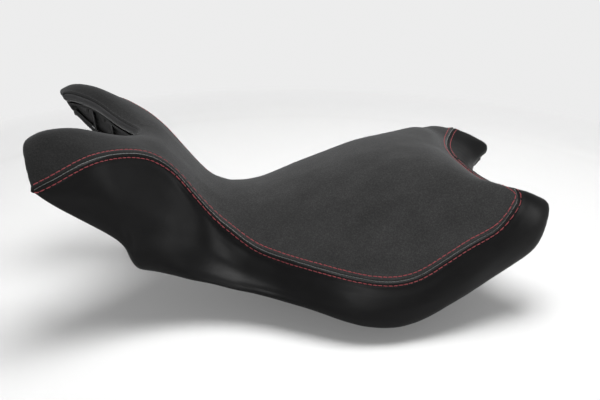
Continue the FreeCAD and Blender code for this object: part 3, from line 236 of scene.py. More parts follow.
def top_z(x, w):
    """Height of the upper skin, smoothed a little along the seat."""
    x = np.asarray(x, float)
    w = np.abs(np.asarray(w, float))
    shape = x.shape
    x, w = x.ravel(), w.ravel()
    vals = np.zeros((len(x), NT + 1))
    for dx, k in ((-9, .08), (-5, .2), (0, .44), (5, .2), (9, .08)):
        vals += k * Z_X(np.clip(x + dx, -284, 236))
    M = vals @ TAU_OP.T
    t = w / seam_w(x)
    tc = np.clip(t, 0, 1)
    i = np.clip((tc * NT).astype(int), 0, NT - 1)
    k = np.arange(len(x))
    b = tc * NT - i
    a = 1 - b
    y0, y1, m0, m1 = vals[k, i], vals[k, i + 1], M[k, i], M[k, i + 1]
    z = a * y0 + b * y1 + ((a ** 3 - a) * m0 + (b ** 3 - b) * m1) * _h ** 2 / 6
    d = (y1 - y0) / _h + ((1 - 3 * a ** 2) * m0 + (3 * b ** 2 - 1) * m1) * _h / 6
    return (z + (t - tc) * d).reshape(shape)


# the main seam in plan, right half: along the side, round the corner, through the notch to the middle
side_x = np.arange(-272, 226.1, 3.0)
plan = [(x, float(seam_w(x))) for x in side_x]
plan += [(230.5, 119.6), (233.7, 117), (235.6, 114), (236.2, 110.8), (235.3, 107.6), (233.2, 104.3)]
plan += [(228, 97.2), (222.5, 87.8), (217.3, 78.2), (212.7, 67), (208.3, 54.5), (204.8, 41.5), (202, 28), (200.2, 14), (199.5, 0)]
plan = np.array(plan)
mir = np.vstack([plan, plan[::-1][1:] * [1, -1]])
SEAM_S = arclen(mir)
SEAM_C = CS(SEAM_S, mir)
HALF = SEAM_S[len(plan) - 1]


def seam_plan(s):
    return SEAM_C(s)


def seam3(s):
    p = SEAM_C(s)
    return np.concatenate([p, top_z(p[..., 0], p[..., 1])[..., None]], -1)


# station of each BAND row along the seam
dense_s = np.linspace(0, HALF, 1500)
dense_p = seam_plan(dense_s)
i_s = []
for r in BAND:
    d = np.hypot(dense_p[:, 0] - r[0][0], dense_p[:, 1] - r[0][1])
    i_s.append(dense_s[d.argmin()])
i_s[0], i_s[-1] = 0.0, HALF
i_s = np.maximum.accumulate(np.array(i_s) + np.arange(len(i_s)) * 1e-3)
S_TO_I = pchip(i_s, np.arange(len(BAND)))
IDX = np.arange(len(BAND))
BAND_C = [CS(IDX, np.array([r[k] for r in BAND], float)) for k in range(5)]
PHI_C = pchip(IDX, np.radians(PHI))


def band_section(s):
    """Control polyline of the side skin at seam position s: seam, three points, hem, then the turn under the pan lip. (n, 8, 3)"""
    s = np.atleast_1d(s)
    i = S_TO_I(s)
    P = [seam3(s)] + [BAND_C[k](i) for k in range(1, 5)]
    hem = P[4]
    a, b = BAND_C[4](np.clip(i - .25, 0, IDX[-1])), BAND_C[4](np.clip(i + .25, 0, IDX[-1]))
    t = (b - a)[:, :2]
    t /= np.linalg.norm(t, axis=1)[:, None]
    t = np.where((i > IDX[-1] - .02)[:, None], np.array([[0.0, -1.0]]), t)
    out = np.stack([-t[:, 1], t[:, 0], np.zeros(len(s))], -1)
    ph = PHI_C(i)[:, None]
    up = np.array([[0, 0, 1.0]])
    d = -out * np.cos(ph) + up * np.sin(ph)
    nn = -out * np.sin(ph) - up * np.cos(ph)
    lip = hem - 4.5 * out + 4.5 * up
    k = np.clip((np.abs(i - 24) - .8) / 1.6, 0, 1)[:, None]
    k = .22 + .78 * k * k * (3 - 2 * k)
    P += [lip - 2.6 * d + 5.0 * nn, lip + 4.0 * k * d + 5.6 * nn, lip + 11.5 * k * d + 5.3 * nn]
    return np.stack(P, 1), out


# ----------------------------------------------------------------------------
# mesh helpers
# ----------------------------------------------------------------------------
def grid_mesh(name, grids, flip=False):
    """One mesh from several (m, n, 3) grids in millimetres."""
    vs, fs, off = [], [], 0
    for g in grids:
        m, n = g.shape[:2]
        vs.append(g.reshape(-1, 3))
        idx = np.arange(m * n).reshape(m, n) + off
        q = np.stack([idx[:-1, :-1], idx[1:, :-1], idx[1:, 1:], idx[:-1, 1:]], -1).reshape(-1, 4)
        fs.append(q[:, ::-1] if flip else q)
        off += m * n
    v = np.vstack(vs) * MM
    f = np.vstack(fs)
    return mesh_obj(name, v, f)


def mesh_obj(name, v, f):
    """Mesh object from vertices in metres and quads."""
    me = bpy.data.meshes.new(name)
    me.vertices.add(len(v))
    me.vertices.foreach_set("co", np.asarray(v, np.float32).ravel())
    k = f.shape[1]
    me.loops.add(f.size)
    me.loops.foreach_set("vertex_index", f.astype(np.int32).ravel())
    me.polygons.add(len(f))
    me.polygons.foreach_set("loop_start", np.arange(0, f.size, k, dtype=np.int32))
    me.polygons.foreach_set("loop_total", np.full(len(f), k, np.int32))
    me.update(calc_edges=True)
    me.validate()
    me.polygons.foreach_set("use_smooth", np.ones(len(me.polygons), bool))
    ob = bpy.data.objects.new(name, me)
    bpy.context.scene.collection.objects.link(ob)
    return ob


def normals(g):
    a = np.gradient(g, axis=0)
    b = np.gradient(g, axis=1)
    n = np.cross(a, b)
    return n / np.maximum(np.linalg.norm(n, axis=2, keepdims=True), 1e-9)


def nearest_seam(pts, s0, s1, step=0.8):
    """Distance to the seam curve and position along it, for points near it."""
    ss = np.arange(s0, s1, step)
    c = seam3(ss)
    dist = np.full(len(pts), 1e3)
    pos = np.zeros(len(pts))
    for k in range(0, len(pts), 4000):
        p = pts[k:k + 4000]
        d2 = ((p[:, None, :] - c[None]) ** 2).sum(-1)
        j = d2.argmin(1)
        dist[k:k + 4000] = np.sqrt(d2[np.arange(len(p)), j])
        pos[k:k + 4000] = ss[j]
    return dist, pos


def noise_1d(s, seed, scale):
    """Smooth repeatable noise along a line, about -1 to 1."""
    rng = np.random.RandomState(seed)
    n = int(max(4, (np.max(s) - np.min(s)) / scale + 6))
    v = rng.uniform(-1, 1, n)
    x = (s - np.min(s)) / scale + 1
    i = np.floor(x).astype(int)
    t = x - i
    t = t * t * (3 - 2 * t)
    return v[np.clip(i, 0, n - 1)] * (1 - t) + v[np.clip(i + 1, 0, n - 1)] * t


def noise_3d(p, seed, scale):
    """Smooth repeatable value noise in space, about -1 to 1."""
    rng = np.random.RandomState(seed)
    tab = rng.uniform(-1, 1, (64, 64, 64))
    x = p / scale + 1000.0
    i = np.floor(x).astype(int)
    t = x - i
    t = t * t * (3 - 2 * t)
    r = 0
    for a in (0, 1):
        for b in (0, 1):
            for c in (0, 1):
                w = (t[..., 0] if a else 1 - t[..., 0]) * (t[..., 1] if b else 1 - t[..., 1]) * (t[..., 2] if c else 1 - t[..., 2])
                r = r + w * tab[(i[..., 0] + a) % 64, (i[..., 1] + b) % 64, (i[..., 2] + c) % 64]
    return r


def fold_profile(d, valley=1.15):
    """Height of a French seam over the plain skin, by distance from the seam line."""
    x = np.array([0, .35, .8, 1.4, 2.4, 3.6, 4.3, 4.8, 5.3, 6.0, 7.0, 8.5, 10.5, 13])
    y = np.array([-valley, -.75, -.05, .55, .95, .85, .5, .28, .45, .62, .45, .15, .02, 0])
    return pchip(x, y)(np.minimum(d, 13))


def stitch_wave(s):
    """1 at the holes between stitches, 0 at mid stitch."""
    n = int(HALF * 2 / STITCH_PITCH)
    ph = s / (HALF * 2) * n
    return .5 + .5 * np.cos(2 * np.pi * ph)


# ----------------------------------------------------------------------------
# upper panel grid, right half: rows from the wing's front edge to the rear notch
# ----------------------------------------------------------------------------
gap_c = np.array(GAP, float)
gd = CS(arclen(gap_c), gap_c)
gap_dense = gd(np.linspace(0, arclen(gap_c)[-1], 800))
gap_order = np.argsort(gap_dense[:, 0])


def inner_w(x):
    return np.where(x < -180.5, np.interp(x, gap_dense[gap_order, 0], gap_dense[gap_order, 1]), 0.0)


def across(inner, outer, fine_in):
    """Positions from inner to outer, closely spaced near the outer end and, if asked, the inner end."""
    near = np.array([0, .35, .8, 1.4, 1.9, 2.4, 3, 3.6, 4.3, 4.8, 5.3, 6, 7, 8.5, 10.5, 13])
    L = outer - inner
    k = min(1.0, L / 40.0)
    a = outer - near[::-1] * k
    b = inner + np.array([0, .6, 1.4, 2.4, 3.6, 5.2]) * (k if fine_in else L / 60.0)
    mid = np.linspace(b[-1], a[0], 36)[1:-1]
    return np.r_[b, mid, a]


X_A, X_B = -258.0, 168.0
xs = list(np.arange(X_A, -196, 3.0)) + list(np.arange(-196, -184, 1.5)) + [-184, -183.2, -182.5, -182, -181.6, -181.2, -180.9, -180.65, -180.5]
xs += [-179.9, -179, -177.8, -176.2] + list(np.arange(-174, X_B - 1, 3.0)) + [X_B]
xs = np.array(xs)
body = []
fr = []
for x in xs:
    w0, w1 = float(inner_w(x)), float(seam_w(x))
    w = across(w0, w1, True)
    fr.append((w - w0) / (w1 - w0))
    body.append(np.stack([np.full_like(w, x), w], -1))
body = np.array(body)
fr = np.array(fr)

# front patch: from x = X_A forward to the wing's front edge
front_c = np.array(FRONT, float)
fa = arclen(front_c)
front_c[:, 0] += 2.5 * (1 - .72 * np.clip((fa / fa[-1] - .86) / .14, 0, 1) ** 1.5)
front_curve = CS(fa / fa[-1], front_c)
rr = 1 - np.r_[0, .8, 1.8, 3.0, 4.5, 6.5, 9, 12, 15, 18, 21][::1] / 24.0
rr = rr[:-1]
F = front_curve(fr[0])
Lrow = body[0]
front_rows = []
for r in rr:
    inner = np.array([X_A + (F[0, 0] - X_A) * r, 0])
    inner[1] = inner_w(inner[0])
    outer = np.array([X_A + (F[-1, 0] - X_A) * r, 0])
    outer[1] = seam_w(outer[0])
    base = (1 - r) * Lrow + r * F
    e0 = inner - base[0]
    e1 = outer - base[-1]
    v = fr[0][:, None]
    front_rows.append(base + (1 - v) * e0 + v * e1)
front_rows = np.array(front_rows)

# rear patch: Coons patch between x = X_B, the middle, the seam and the notch seam
cand = dense_s[(dense_p[:, 1] > 125)]
s_b = float(cand[np.abs(seam_plan(cand)[:, 0] - X_B).argmin()])
corner_s = float(dense_s[np.abs(dense_p - np.array([236.2, 111.5])).sum(1).argmin()])
near_r = np.array([0, .35, .8, 1.4, 1.9, 2.4, 3, 3.6, 4.3, 4.8, 5.3, 6, 7, 8.5, 10.5, 13])
r_list = np.r_[np.linspace(0, 1 - 13 / 50.0, 16)[1:-1], 1 - near_r[::-1] / 50.0]
vb = fr[-1]
N_curve = seam_plan(HALF - vb * (HALF - corner_s))
S_pts = seam_plan(s_b + r_list * (corner_s - s_b))
Lb = body[-1]
rear_rows = []
for k, r in enumerate(r_list):
    c0 = np.array([X_B + (199.5 - X_B) * r, 0.0])
    s1 = S_pts[k]
    v = vb[:, None]
    P = (1 - r) * Lb + r * N_curve + (1 - v) * c0 + v * s1
    P -= (1 - r) * (1 - v) * Lb[0] + (1 - r) * v * Lb[-1] + r * (1 - v) * N_curve[0] + r * v * N_curve[-1]
    rear_rows.append(P)
rear_rows = np.array(rear_rows)
plan_grid = np.concatenate([front_rows, body, rear_rows], 0)
top_grid = np.concatenate([plan_grid, top_z(plan_grid[..., 0], plan_grid[..., 1])[..., None]], -1)
N_FRONT = len(front_rows)
I_APEX = N_FRONT + int(np.abs(xs + 180.5).argmin())


# ----------------------------------------------------------------------------
# padding: the cover is held at its edges and swells a little over the foam
# ----------------------------------------------------------------------------
def swell(name, grids, pins, pressure, cap, frames=16, weld=None, stiff=12.0):
    """Cloth pressure on a coarse copy of the grids, held where pins is true. Returns the movement along the normal, per grid."""
    sizes = [g.shape[:2] for g in grids]
    vs = np.vstack([g.reshape(-1, 3) for g in grids])
    fs, off = [], 0
    for m, n in sizes:
        idx = np.arange(m * n).reshape(m, n) + off
        fs.append(np.stack([idx[:-1, :-1], idx[1:, :-1], idx[1:, 1:], idx[:-1, 1:]], -1).reshape(-1, 4))
        off += m * n
    f = np.vstack(fs)
    remap = np.arange(len(vs))
    if weld is not None:
        for a, b in weld:
            remap[b] = a
    f = remap[f]
    ok = np.array([len(set(q)) == 4 for q in f])
    f = f[ok]
    scale = 0.01   # ten times life size, where the solver's defaults behave
    ob = mesh_obj(name, vs * scale, f)
    pin = np.concatenate([p.ravel() for p in pins])
    vg = ob.vertex_groups.new(name="pin")
    for w in np.unique(np.round(pin, 2)):
        if w > 0:
            vg.add([int(k) for k in np.nonzero(np.abs(pin - w) < .006)[0]], float(w), "REPLACE")
    md = ob.modifiers.new("cloth", "CLOTH")
    st = md.settings
    st.quality = 6
    st.mass = 0.3
    st.tension_stiffness = stiff
    st.compression_stiffness = stiff
    st.shear_stiffness = 4
    st.bending_stiffness = 0.6
    st.tension_damping = 8
    st.compression_damping = 8
    st.use_pressure = True
    st.uniform_pressure_force = pressure
    st.effector_weights.gravity = 0
    st.vertex_group_mass = "pin"
    md.collision_settings.use_collision = False
    md.point_cache.frame_start = 1
    md.point_cache.frame_end = frames
    sc = bpy.context.scene
    for k in range(1, frames + 1):
        sc.frame_set(k)
    dg = bpy.context.evaluated_depsgraph_get()
    ev = ob.evaluated_get(dg).to_mesh()
    co = np.zeros(len(vs) * 3, np.float32)
    ev.vertices.foreach_get("co", co)
    co = co.reshape(-1, 3).astype(float) / scale
    sc.frame_set(1)
    bpy.data.objects.remove(ob, do_unlink=True)
    out, off = [], 0
    for g, (m, n) in zip(grids, sizes):
        c = co[remap][off:off + m * n].reshape(m, n, 3)
        off += m * n
        N = normals(g)
        d = ((c - g) * N).sum(-1)
        out.append(np.clip(d, -cap, cap))
    return out


def refine(d, rows, cols, m, n):
    """Spread a coarse field, known at rows and cols of the full grid, over the full (m, n) grid."""
    a = np.stack([np.interp(np.arange(n), cols, r) for r in d])
    a = np.stack([np.interp(np.arange(m), rows, c) for c in a.T], 1)
    return a


m_top, n_top = top_grid.shape[:2]
N_top = normals(top_grid)
if N_top[m_top // 2, n_top // 2, 2] < 0:
    N_top = -N_top

flat = top_grid.reshape(-1, 3)
near = nearest_seam(flat, -1.0, HALF + 1.0)
d_top, s_top = near[0].reshape(m_top, n_top), near[1].reshape(m_top, n_top)

gap3 = np.stack([gap_dense[:, 0], gap_dense[:, 1], top_z(gap_dense[:, 0], gap_dense[:, 1])], -1)
gsel = gap3[(gap3[:, 0] > -276)]
d_gap = np.full((m_top, n_top), 99.0)
rsel = I_APEX + 6
pts = top_grid[:rsel, :14].reshape(-1, 3)
dd = np.sqrt(((pts[:, None, :] - gsel[None]) ** 2).sum(-1)).min(1).reshape(rsel, 14)
d_gap[:rsel, :14] = dd

# sag and swell of the pad, from the cloth solver
sim_top = np.zeros((m_top, n_top))
rows_c = np.unique(np.r_[np.arange(0, m_top, 2), m_top - 1])
cols_c = np.unique(np.r_[0, 3, 5, np.arange(8, n_top - 14, 3), n_top - 14, n_top - 10, n_top - 6, n_top - 1])
g = top_grid[np.ix_(rows_c, cols_c)]
gm = g * [1, -1, 1]
pin = np.zeros(g.shape[:2])
pin[:, -1] = 1
pin[0, :] = 1
pin[-1, :] = 1
pin[rows_c <= I_APEX, 0] = 1
pin = np.maximum(pin, np.clip(1 - d_top[np.ix_(rows_c, cols_c)] / 5.0, 0, 1))
mm, nn_ = g.shape[:2]
weld = [(i * nn_, mm * nn_ + i * nn_) for i in range(mm) if rows_c[i] >= I_APEX]
res = swell("pad_top", [g, gm[:, ::-1]], [pin, pin[:, ::-1]], 4.0, 3.2,
            weld=[(a, mm * nn_ + (a // nn_) * nn_ + nn_ - 1) for a, _ in weld])
d = res[0]
if d[mm // 2, nn_ // 2] < 0:
    d = -d
print("pad swell mm", round(float(d.min()), 2), round(float(d.max()), 2))
sim_top = smooth1(smooth1(refine(d, rows_c, cols_c, m_top, n_top), 3, 0), 2, 1)

undul = .16 * noise_3d(top_grid, 11, 34.0) + .07 * noise_3d(top_grid, 12, 13.0)
edge_fade = np.clip((d_top - 6) / 16, 0, 1) * np.clip((d_gap - 3) / 10, 0, 1)
h_top = np.clip(sim_top * .5, -1.1, 1.4) * np.clip((d_top - 6) / 24, 0, 1) * np.clip((d_gap - 3) / 14, 0, 1) + undul * edge_fade
h_top += fold_profile(d_top) - .30 * stitch_wave(s_top) * np.exp(-((d_top - STITCH_OFFSET) / .9) ** 2)
h_top += -.55 * np.exp(-(d_gap / 1.0) ** 2) + .45 * np.exp(-((d_gap - 2.6) / 1.5) ** 2)
top_final = top_grid + N_top * h_top[..., None]


def roll_rows(edge, before, N, r_of_v, turn=math.pi, steps=9, flange=(3, 6, 9, 12)):
    """Rows that carry a panel round its front edge and back underneath."""
    T = edge - before
    T /= np.linalg.norm(T, axis=1)[:, None]
    out = []
    r = r_of_v[:, None]
    for th in np.linspace(0, turn, steps)[1:]:
        out.append(edge + r * (math.sin(th) * T + (math.cos(th) - 1) * N))
    last = out[-1]
    for f in flange:
        out.append(last - T * f * (r / r.max()))
    return out


v0 = fr[0]
r_front = 5.0 * (1 - .72 * np.clip((v0 - .86) / .14, 0, 1) ** 1.5)
roll = roll_rows(top_final[0], top_final[2], N_top[0], r_front)
top_skin = np.concatenate([np.array(roll[::-1]), top_final], 0)
N_ROLL = len(roll)
# turned-in edge at the seam
Nskin = np.concatenate([np.repeat(N_top[:1], N_ROLL, 0), N_top], 0)
turn_in = top_skin[:, -1:] - Nskin[:, -1:] * 2.2
top_skin = np.concatenate([top_skin, turn_in], 1)


def panel_object(name, half, i_join, flip):
    """Both halves of the upper panel as one mesh, joined along the middle behind the apex of the gap."""
    m, n = half.shape[:2]
    other = half * [1, -1, 1]
    v = np.vstack([half.reshape(-1, 3), other.reshape(-1, 3)]) * MM
    idx = np.arange(m * n).reshape(m, n)
    idx2 = idx + m * n
    idx2[i_join:, 0] = idx[i_join:, 0]
    q1 = np.stack([idx[:-1, :-1], idx[1:, :-1], idx[1:, 1:], idx[:-1, 1:]], -1).reshape(-1, 4)
    q2 = np.stack([idx2[:-1, :-1], idx2[:-1, 1:], idx2[1:, 1:], idx2[1:, :-1]], -1).reshape(-1, 4)
    f = np.vstack([q1, q2])
    if flip:
        f = f[:, ::-1]
    ob = mesh_obj(name, v, f)
    drop_loose(ob)
    return ob


def drop_loose(ob):
    import bmesh
    bm = bmesh.new()
    bm.from_mesh(ob.data)
    bmesh.ops.delete(bm, geom=[x for x in bm.verts if not x.link_faces], context="VERTS")
    bm.to_mesh(ob.data)
    bm.free()


def face_up(ob, probe):
    """Flip the mesh if its faces look away from where they should."""
    me = ob.data
    s = 0.0
    for k in range(0, len(me.polygons), 97):
        p = me.polygons[k]
        s += p.normal.dot(Vector(probe(p.center)))
    if s < 0:
        me.flip_normals()


def solid(ob, t):
    """Give a sheet its thickness, inward."""
    md = ob.modifiers.new("thickness", "SOLIDIFY")
    md.thickness = t * MM
    md.offset = -1
    md.use_even_offset = False
    md.use_quality_normals = True
    bake(ob)


def bake(ob):
    dg = bpy.context.evaluated_depsgraph_get()
    me = bpy.data.meshes.new_from_object(ob.evaluated_get(dg))
    ob.modifiers.clear()
    old = ob.data
    ob.data = me
    bpy.data.meshes.remove(old)


top_panel = panel_object("suede_top", top_skin, N_ROLL + I_APEX, False)
face_up(top_panel, lambda c: (0, 0, 1) if c.x > -.25 else (0, 0, 0))
solid(top_panel, 1.1)

# ----------------------------------------------------------------------------
# side panels
# ----------------------------------------------------------------------------
ss = np.r_[np.linspace(0, 12, 13), np.arange(14, HALF - 8, 2.2), HALF - np.array([7, 5.6, 4.4, 3.4, 2.6, 1.9, 1.3, .8, .4, 0])]
sec, out_dir = band_section(ss)
sec = smooth1(sec, 3, 0)
near_d = np.array([0, .35, .8, 1.4, 1.9, 2.4, 3, 3.6, 4.3, 4.8, 5.3, 6, 7, 8.5, 10.5, 13])
N_MID, N_LOW = 26, 22
band = []
d_hem = []
for k in range(len(ss)):
    c = sec[k]
    a = arclen(c)
    cs = CS(a, c)
    hem_a = a[4]
    kk = min(1.0, hem_a / 30.0)
    t = np.r_[near_d * kk, np.linspace(13 * kk, hem_a - 4 * kk, N_MID)[1:-1], np.linspace(hem_a - 4 * kk, a[-1], N_LOW)]
    band.append(cs(t))
    d_hem.append(t - hem_a)
band = np.array(band)
d_hem = np.array(d_hem)
# the middle of the notch lies on the middle plane
band[-1, :, 1] = 0
m_b, n_b = band.shape[:2]
N_b = normals(band)
if (N_b[m_b // 2, 20] * out_dir[m_b // 2]).sum() < 0:
    N_b = -N_b
fb = band.reshape(-1, 3)
nb = nearest_seam(fb, -1.0, HALF + 1.0)
d_b, s_b2 = nb[0].reshape(m_b, n_b), nb[1].reshape(m_b, n_b)
d_b[:, 22:] = np.maximum(d_b[:, 22:], 14)

sim_b = np.zeros((m_b, n_b))
rows_c = np.unique(np.r_[np.arange(0, m_b, 3), m_b - 1])
cols_c = np.unique(np.r_[0, 4, 8, 12, np.arange(15, n_b - N_LOW, 2), n_b - N_LOW, n_b - N_LOW + 3])
g = band[np.ix_(rows_c, cols_c)]
pin = np.zeros(g.shape[:2])
pin[:, 0] = pin[:, -1] = 1
pin[0] = pin[-1] = 1
pin = np.maximum(pin, np.clip(1 - d_b[np.ix_(rows_c, cols_c)] / 5.0, 0, 1))
d = swell("pad_side", [g], [pin], 4.0, 2.2)[0]
if np.median(d) < 0:
    d = -d
print("side swell mm", round(float(d.min()), 2), round(float(d.max()), 2))
sim_b = smooth1(smooth1(refine(d, rows_c, cols_c, m_b, n_b), 3, 0), 2, 1)
sim_b[:, n_b - N_LOW + 3:] = 0

S_col = np.repeat(ss[:, None], n_b, 1)
x_b = band[..., 0]
h_b = np.clip(sim_b * .5, -.9, 1.0) * np.clip((d_b - 5) / 12, 0, 1)
h_b += fold_profile(d_b) - .34 * stitch_wave(s_b2) * np.exp(-((d_b - STITCH_OFFSET) / .9) ** 2)
# pulled crease above the hem from the wing's heel to the middle of the seat
crease = np.clip((x_b + 178) / 25, 0, 1) * np.clip((20 - x_b) / 60, 0, 1)
h_b += crease * (-.55 * np.exp(-((d_hem + 9.0) / 1.5) ** 2) + .5 * np.exp(-((d_hem + 5.5) / 1.8) ** 2))
# the join in the middle of the notch
j = HALF - S_col
h_b += (-1.5 * np.exp(-(j / 1.1) ** 2) + .5 * np.exp(-((j - 3.2) / 1.5) ** 2)) * np.clip(d_b / 3, 0, 1)
# slight pulls toward the staples, under the hem only
h_b += .12 * noise_1d(S_col, 5, 11.0) * np.clip((d_hem + 10) / 6, 0, 1) * np.clip((3 - d_hem) / 3, 0, 1)
h_b += .10 * noise_3d(band, 21, 30.0) * np.clip((d_b - 6) / 12, 0, 1)
band_f = band + N_b * h_b[..., None]
band_f[-1, :, 1] = 0
edge_in = band_f[:, :1] - N_b[:, :1] * 2.2
band_f = np.concatenate([edge_in, band_f], 1)
# rounded end at the wing's lower front corner
first = band_f[0]
cen = first.mean(0)
caps = []
for k, (dx, sc_) in enumerate(((1.4, .93), (2.6, .74), (3.3, .42), (3.5, .06))):
    caps.append(cen + (first - cen) * sc_ + np.array([-dx, 0, 0]))
band_f = np.concatenate([np.array(caps[::-1]), band_f], 0)


def side_object(name, sign):
    g = band_f * [1, sign, 1]
    ob = grid_mesh(name, [g])
    face_up(ob, lambda c: (0, sign, 0) if c.x < .2 and c.z > .04 else (0, 0, 0))
    solid(ob, 1.0)
    return ob


right_panel = side_object("vinyl_side_right", 1)
left_panel = side_object("vinyl_side_left", -1)

# ----------------------------------------------------------------------------
# strip along the front gap
# ----------------------------------------------------------------------------
ga = arclen(gap_c)
x_at = gap_dense[:, 0]
g0 = float(np.interp(-275.8, x_at[gap_order], np.linspace(0, ga[-1], 800)[gap_order]))
gs = np.r_[g0 + np.array([0, .5, 1.1, 1.9, 2.9, 4.2]), np.linspace(g0 + 6, ga[-1], 110)]
gp = gd(gs)
gp[-1, 1] = 0
gfull = np.vstack([gp, gp[::-1][1:] * [1, -1]])
tan = np.gradient(gfull, axis=0)
tan /= np.linalg.norm(tan, axis=1)[:, None]
left_n = np.stack([-tan[:, 1], tan[:, 0]], -1)     # into the wing
zt = top_z(np.clip(gfull[:, 0], -284, 0), np.abs(gfull[:, 1]))
e = np.clip(-271.0 - gfull[:, 0], 0, 4.9)
half_h = np.sqrt(25 - e ** 2) / 5.0
prof = [(1.6, 3.0), (.7, 1.2), (.1, .9), (-.45, 1.5), (-.75, 2.6), (-.9, 4.0), (-.95, 5.6), (-.75, 7.4), (-.3, 8.9), (.5, 10.2), (1.8, 11.0), (4.0, 11.6), (7.5, 12.0)]
strip = []
for off, down in prof:
    dn = 5 + (down - 5) * half_h
    wob = .12 * noise_1d(np.arange(len(gfull)) * 2.0, 31, 17.0)
    p = gfull + left_n * (off + wob)[..., None]
    strip.append(np.stack([p[:, 0], p[:, 1], zt - dn - .25], -1))
strip = np.transpose(np.array(strip), (1, 0, 2))
gap_piece = grid_mesh("gap_trim_strip", [strip])
face_up(gap_piece, lambda c: (-1, 0, 0) if abs(c.y) < .02 else (0, -1 if c.y > 0 else 1, 0))
solid(gap_piece, .9)


# ----------------------------------------------------------------------------
# thread
# ----------------------------------------------------------------------------
def thread_mesh(name, centre, normal, par, pitch, fill, r, lift, dip, seed, plies=2, around=8, along=11):
    """Lock stitches along a path: each one rises from its hole, lies on the cover and dives again. par is the seam position of each path point."""
    rng = np.random.RandomState(seed)
    V_, F_ = [], []
    base = 0
    ph = np.arange(around) * 2 * math.pi / around
    u = np.linspace(0, 1, along)
    total = par[0] + par[-1]
    n = int(total / pitch)
    step = total / n
    for k in range(n):
        s0 = (k + (1 - fill) / 2 + rng.normal(0, .012)) * step
        s = s0 + u * fill * step * (1 + rng.normal(0, .015))
        if s[0] < par[0] or s[-1] > par[-1]:
            continue
        c = np.stack([np.interp(s, par, centre[:, q]) for q in range(3)], -1)
        nn = np.stack([np.interp(s, par, normal[:, q]) for q in range(3)], -1)
        nn /= np.linalg.norm(nn, axis=1)[:, None]
        h = -dip + (lift + dip) * np.clip(np.sin(math.pi * u), 0, 1) ** .42
        t = np.gradient(c, axis=0)
        t /= np.linalg.norm(t, axis=1)[:, None]
        side = np.cross(t, nn)
        side /= np.linalg.norm(side, axis=1)[:, None]
        c = c + nn * h[:, None] + side * (rng.normal(0, .06) + (u - .5) * rng.normal(.16, .08))[:, None]
        t = np.gradient(c, axis=0)
        t /= np.linalg.norm(t, axis=1)[:, None]
        side = np.cross(t, nn)
        side /= np.linalg.norm(side, axis=1)[:, None]
        up = np.cross(side, t)
        tw = rng.uniform(0, 6.28)
        rad = r * (1 + .17 * np.cos(plies * (ph[None, :] - tw) - u[:, None] * 2 * math.pi * 1.8))
        rad *= (.55 + .45 * np.clip(np.sin(math.pi * np.clip(u, .04, .96)), 0, 1) ** .25)[:, None]
        ring = c[:, None] + rad[..., None] * (np.cos(ph)[None, :, None] * side[:, None] + np.sin(ph)[None, :, None] * up[:, None])
        V_.append(ring.reshape(-1, 3))
        V_.append(c[[0, -1]])
        idx = np.arange(along * around).reshape(along, around) + base
        nx = np.roll(idx, -1, 1)
        F_.append(np.stack([idx[:-1], nx[:-1], nx[1:], idx[1:]], -1).reshape(-1, 4))
        e0, e1 = base + along * around, base + along * around + 1
        F_.append(np.stack([np.full(around, e0), nx[0], idx[0], idx[0]], -1))
        F_.append(np.stack([np.full(around, e1), idx[-1], nx[-1], nx[-1]], -1))
        base += along * around + 2
    v = np.vstack(V_) * MM
    f = np.vstack(F_)
    me = bpy.data.meshes.new(name)
    me.from_pydata(v.tolist(), [], [tuple(q) if q[2] != q[3] else tuple(q[:3]) for q in f.tolist()])
    me.polygons.foreach_set("use_smooth", np.ones(len(me.polygons), bool))
    me.update()
    ob = bpy.data.objects.new(name, me)
    bpy.context.scene.collection.objects.link(ob)
    return ob


def mirror_path(c, n, par, end):
    """Right half of a path and its mirror image, joined at the middle plane."""
    return (np.vstack([c, c[::-1][1:] * [1, -1, 1]]), np.vstack([n, n[::-1][1:] * [1, -1, 1]]),
            np.r_[par, (2 * end - par)[::-1][1:]])


def surface_of(*obs):
    """Search tree over the outer faces of some meshes, in millimetres."""
    v, f, off = [], [], 0
    for ob in obs:
        co = np.zeros(len(ob.data.vertices) * 3, np.float32)
        ob.data.vertices.foreach_get("co", co)
        co = co.reshape(-1, 3) / MM
        v += [tuple(p) for p in co.tolist()]
        f += [tuple(i + off for i in q.vertices) for q in ob.data.polygons]
        off += len(co)
    return BVHTree.FromPolygons(v, f)


def lay(tree, P, N, reach=7.0):
    """Points moved along their normals on to the mesh, with the mesh's normals."""
    Q, M = P.copy(), N.copy()
    ok = np.zeros(len(P), bool)
    for k in range(len(P)):
        hit = tree.ray_cast(Vector(P[k] + N[k] * reach), Vector(-N[k]), reach * 2.2)
        if hit[0] is not None:
            Q[k] = hit[0]
            m = np.array(hit[1])
            M[k] = m if m @ N[k] > 0 else -m
            ok[k] = True
    shift = ((Q - P) * N).sum(1)
    idx = np.arange(len(P))
    if ok.any():
        shift = np.interp(idx, idx[ok], shift[ok])
    shift = smooth1(shift, 3)
    Q = P + N * shift[:, None]
    M = smooth1(M, 6)
    return Q, M / np.linalg.norm(M, axis=1)[:, None]


sp = np.r_[np.arange(-1.0, HALF, 1.0), HALF]
p0 = seam_plan(sp)
tt = seam_plan(sp + .5) - seam_plan(sp - .5)
tt /= np.linalg.norm(tt, axis=1)[:, None]
n_in = np.stack([tt[:, 1], -tt[:, 0]], -1)


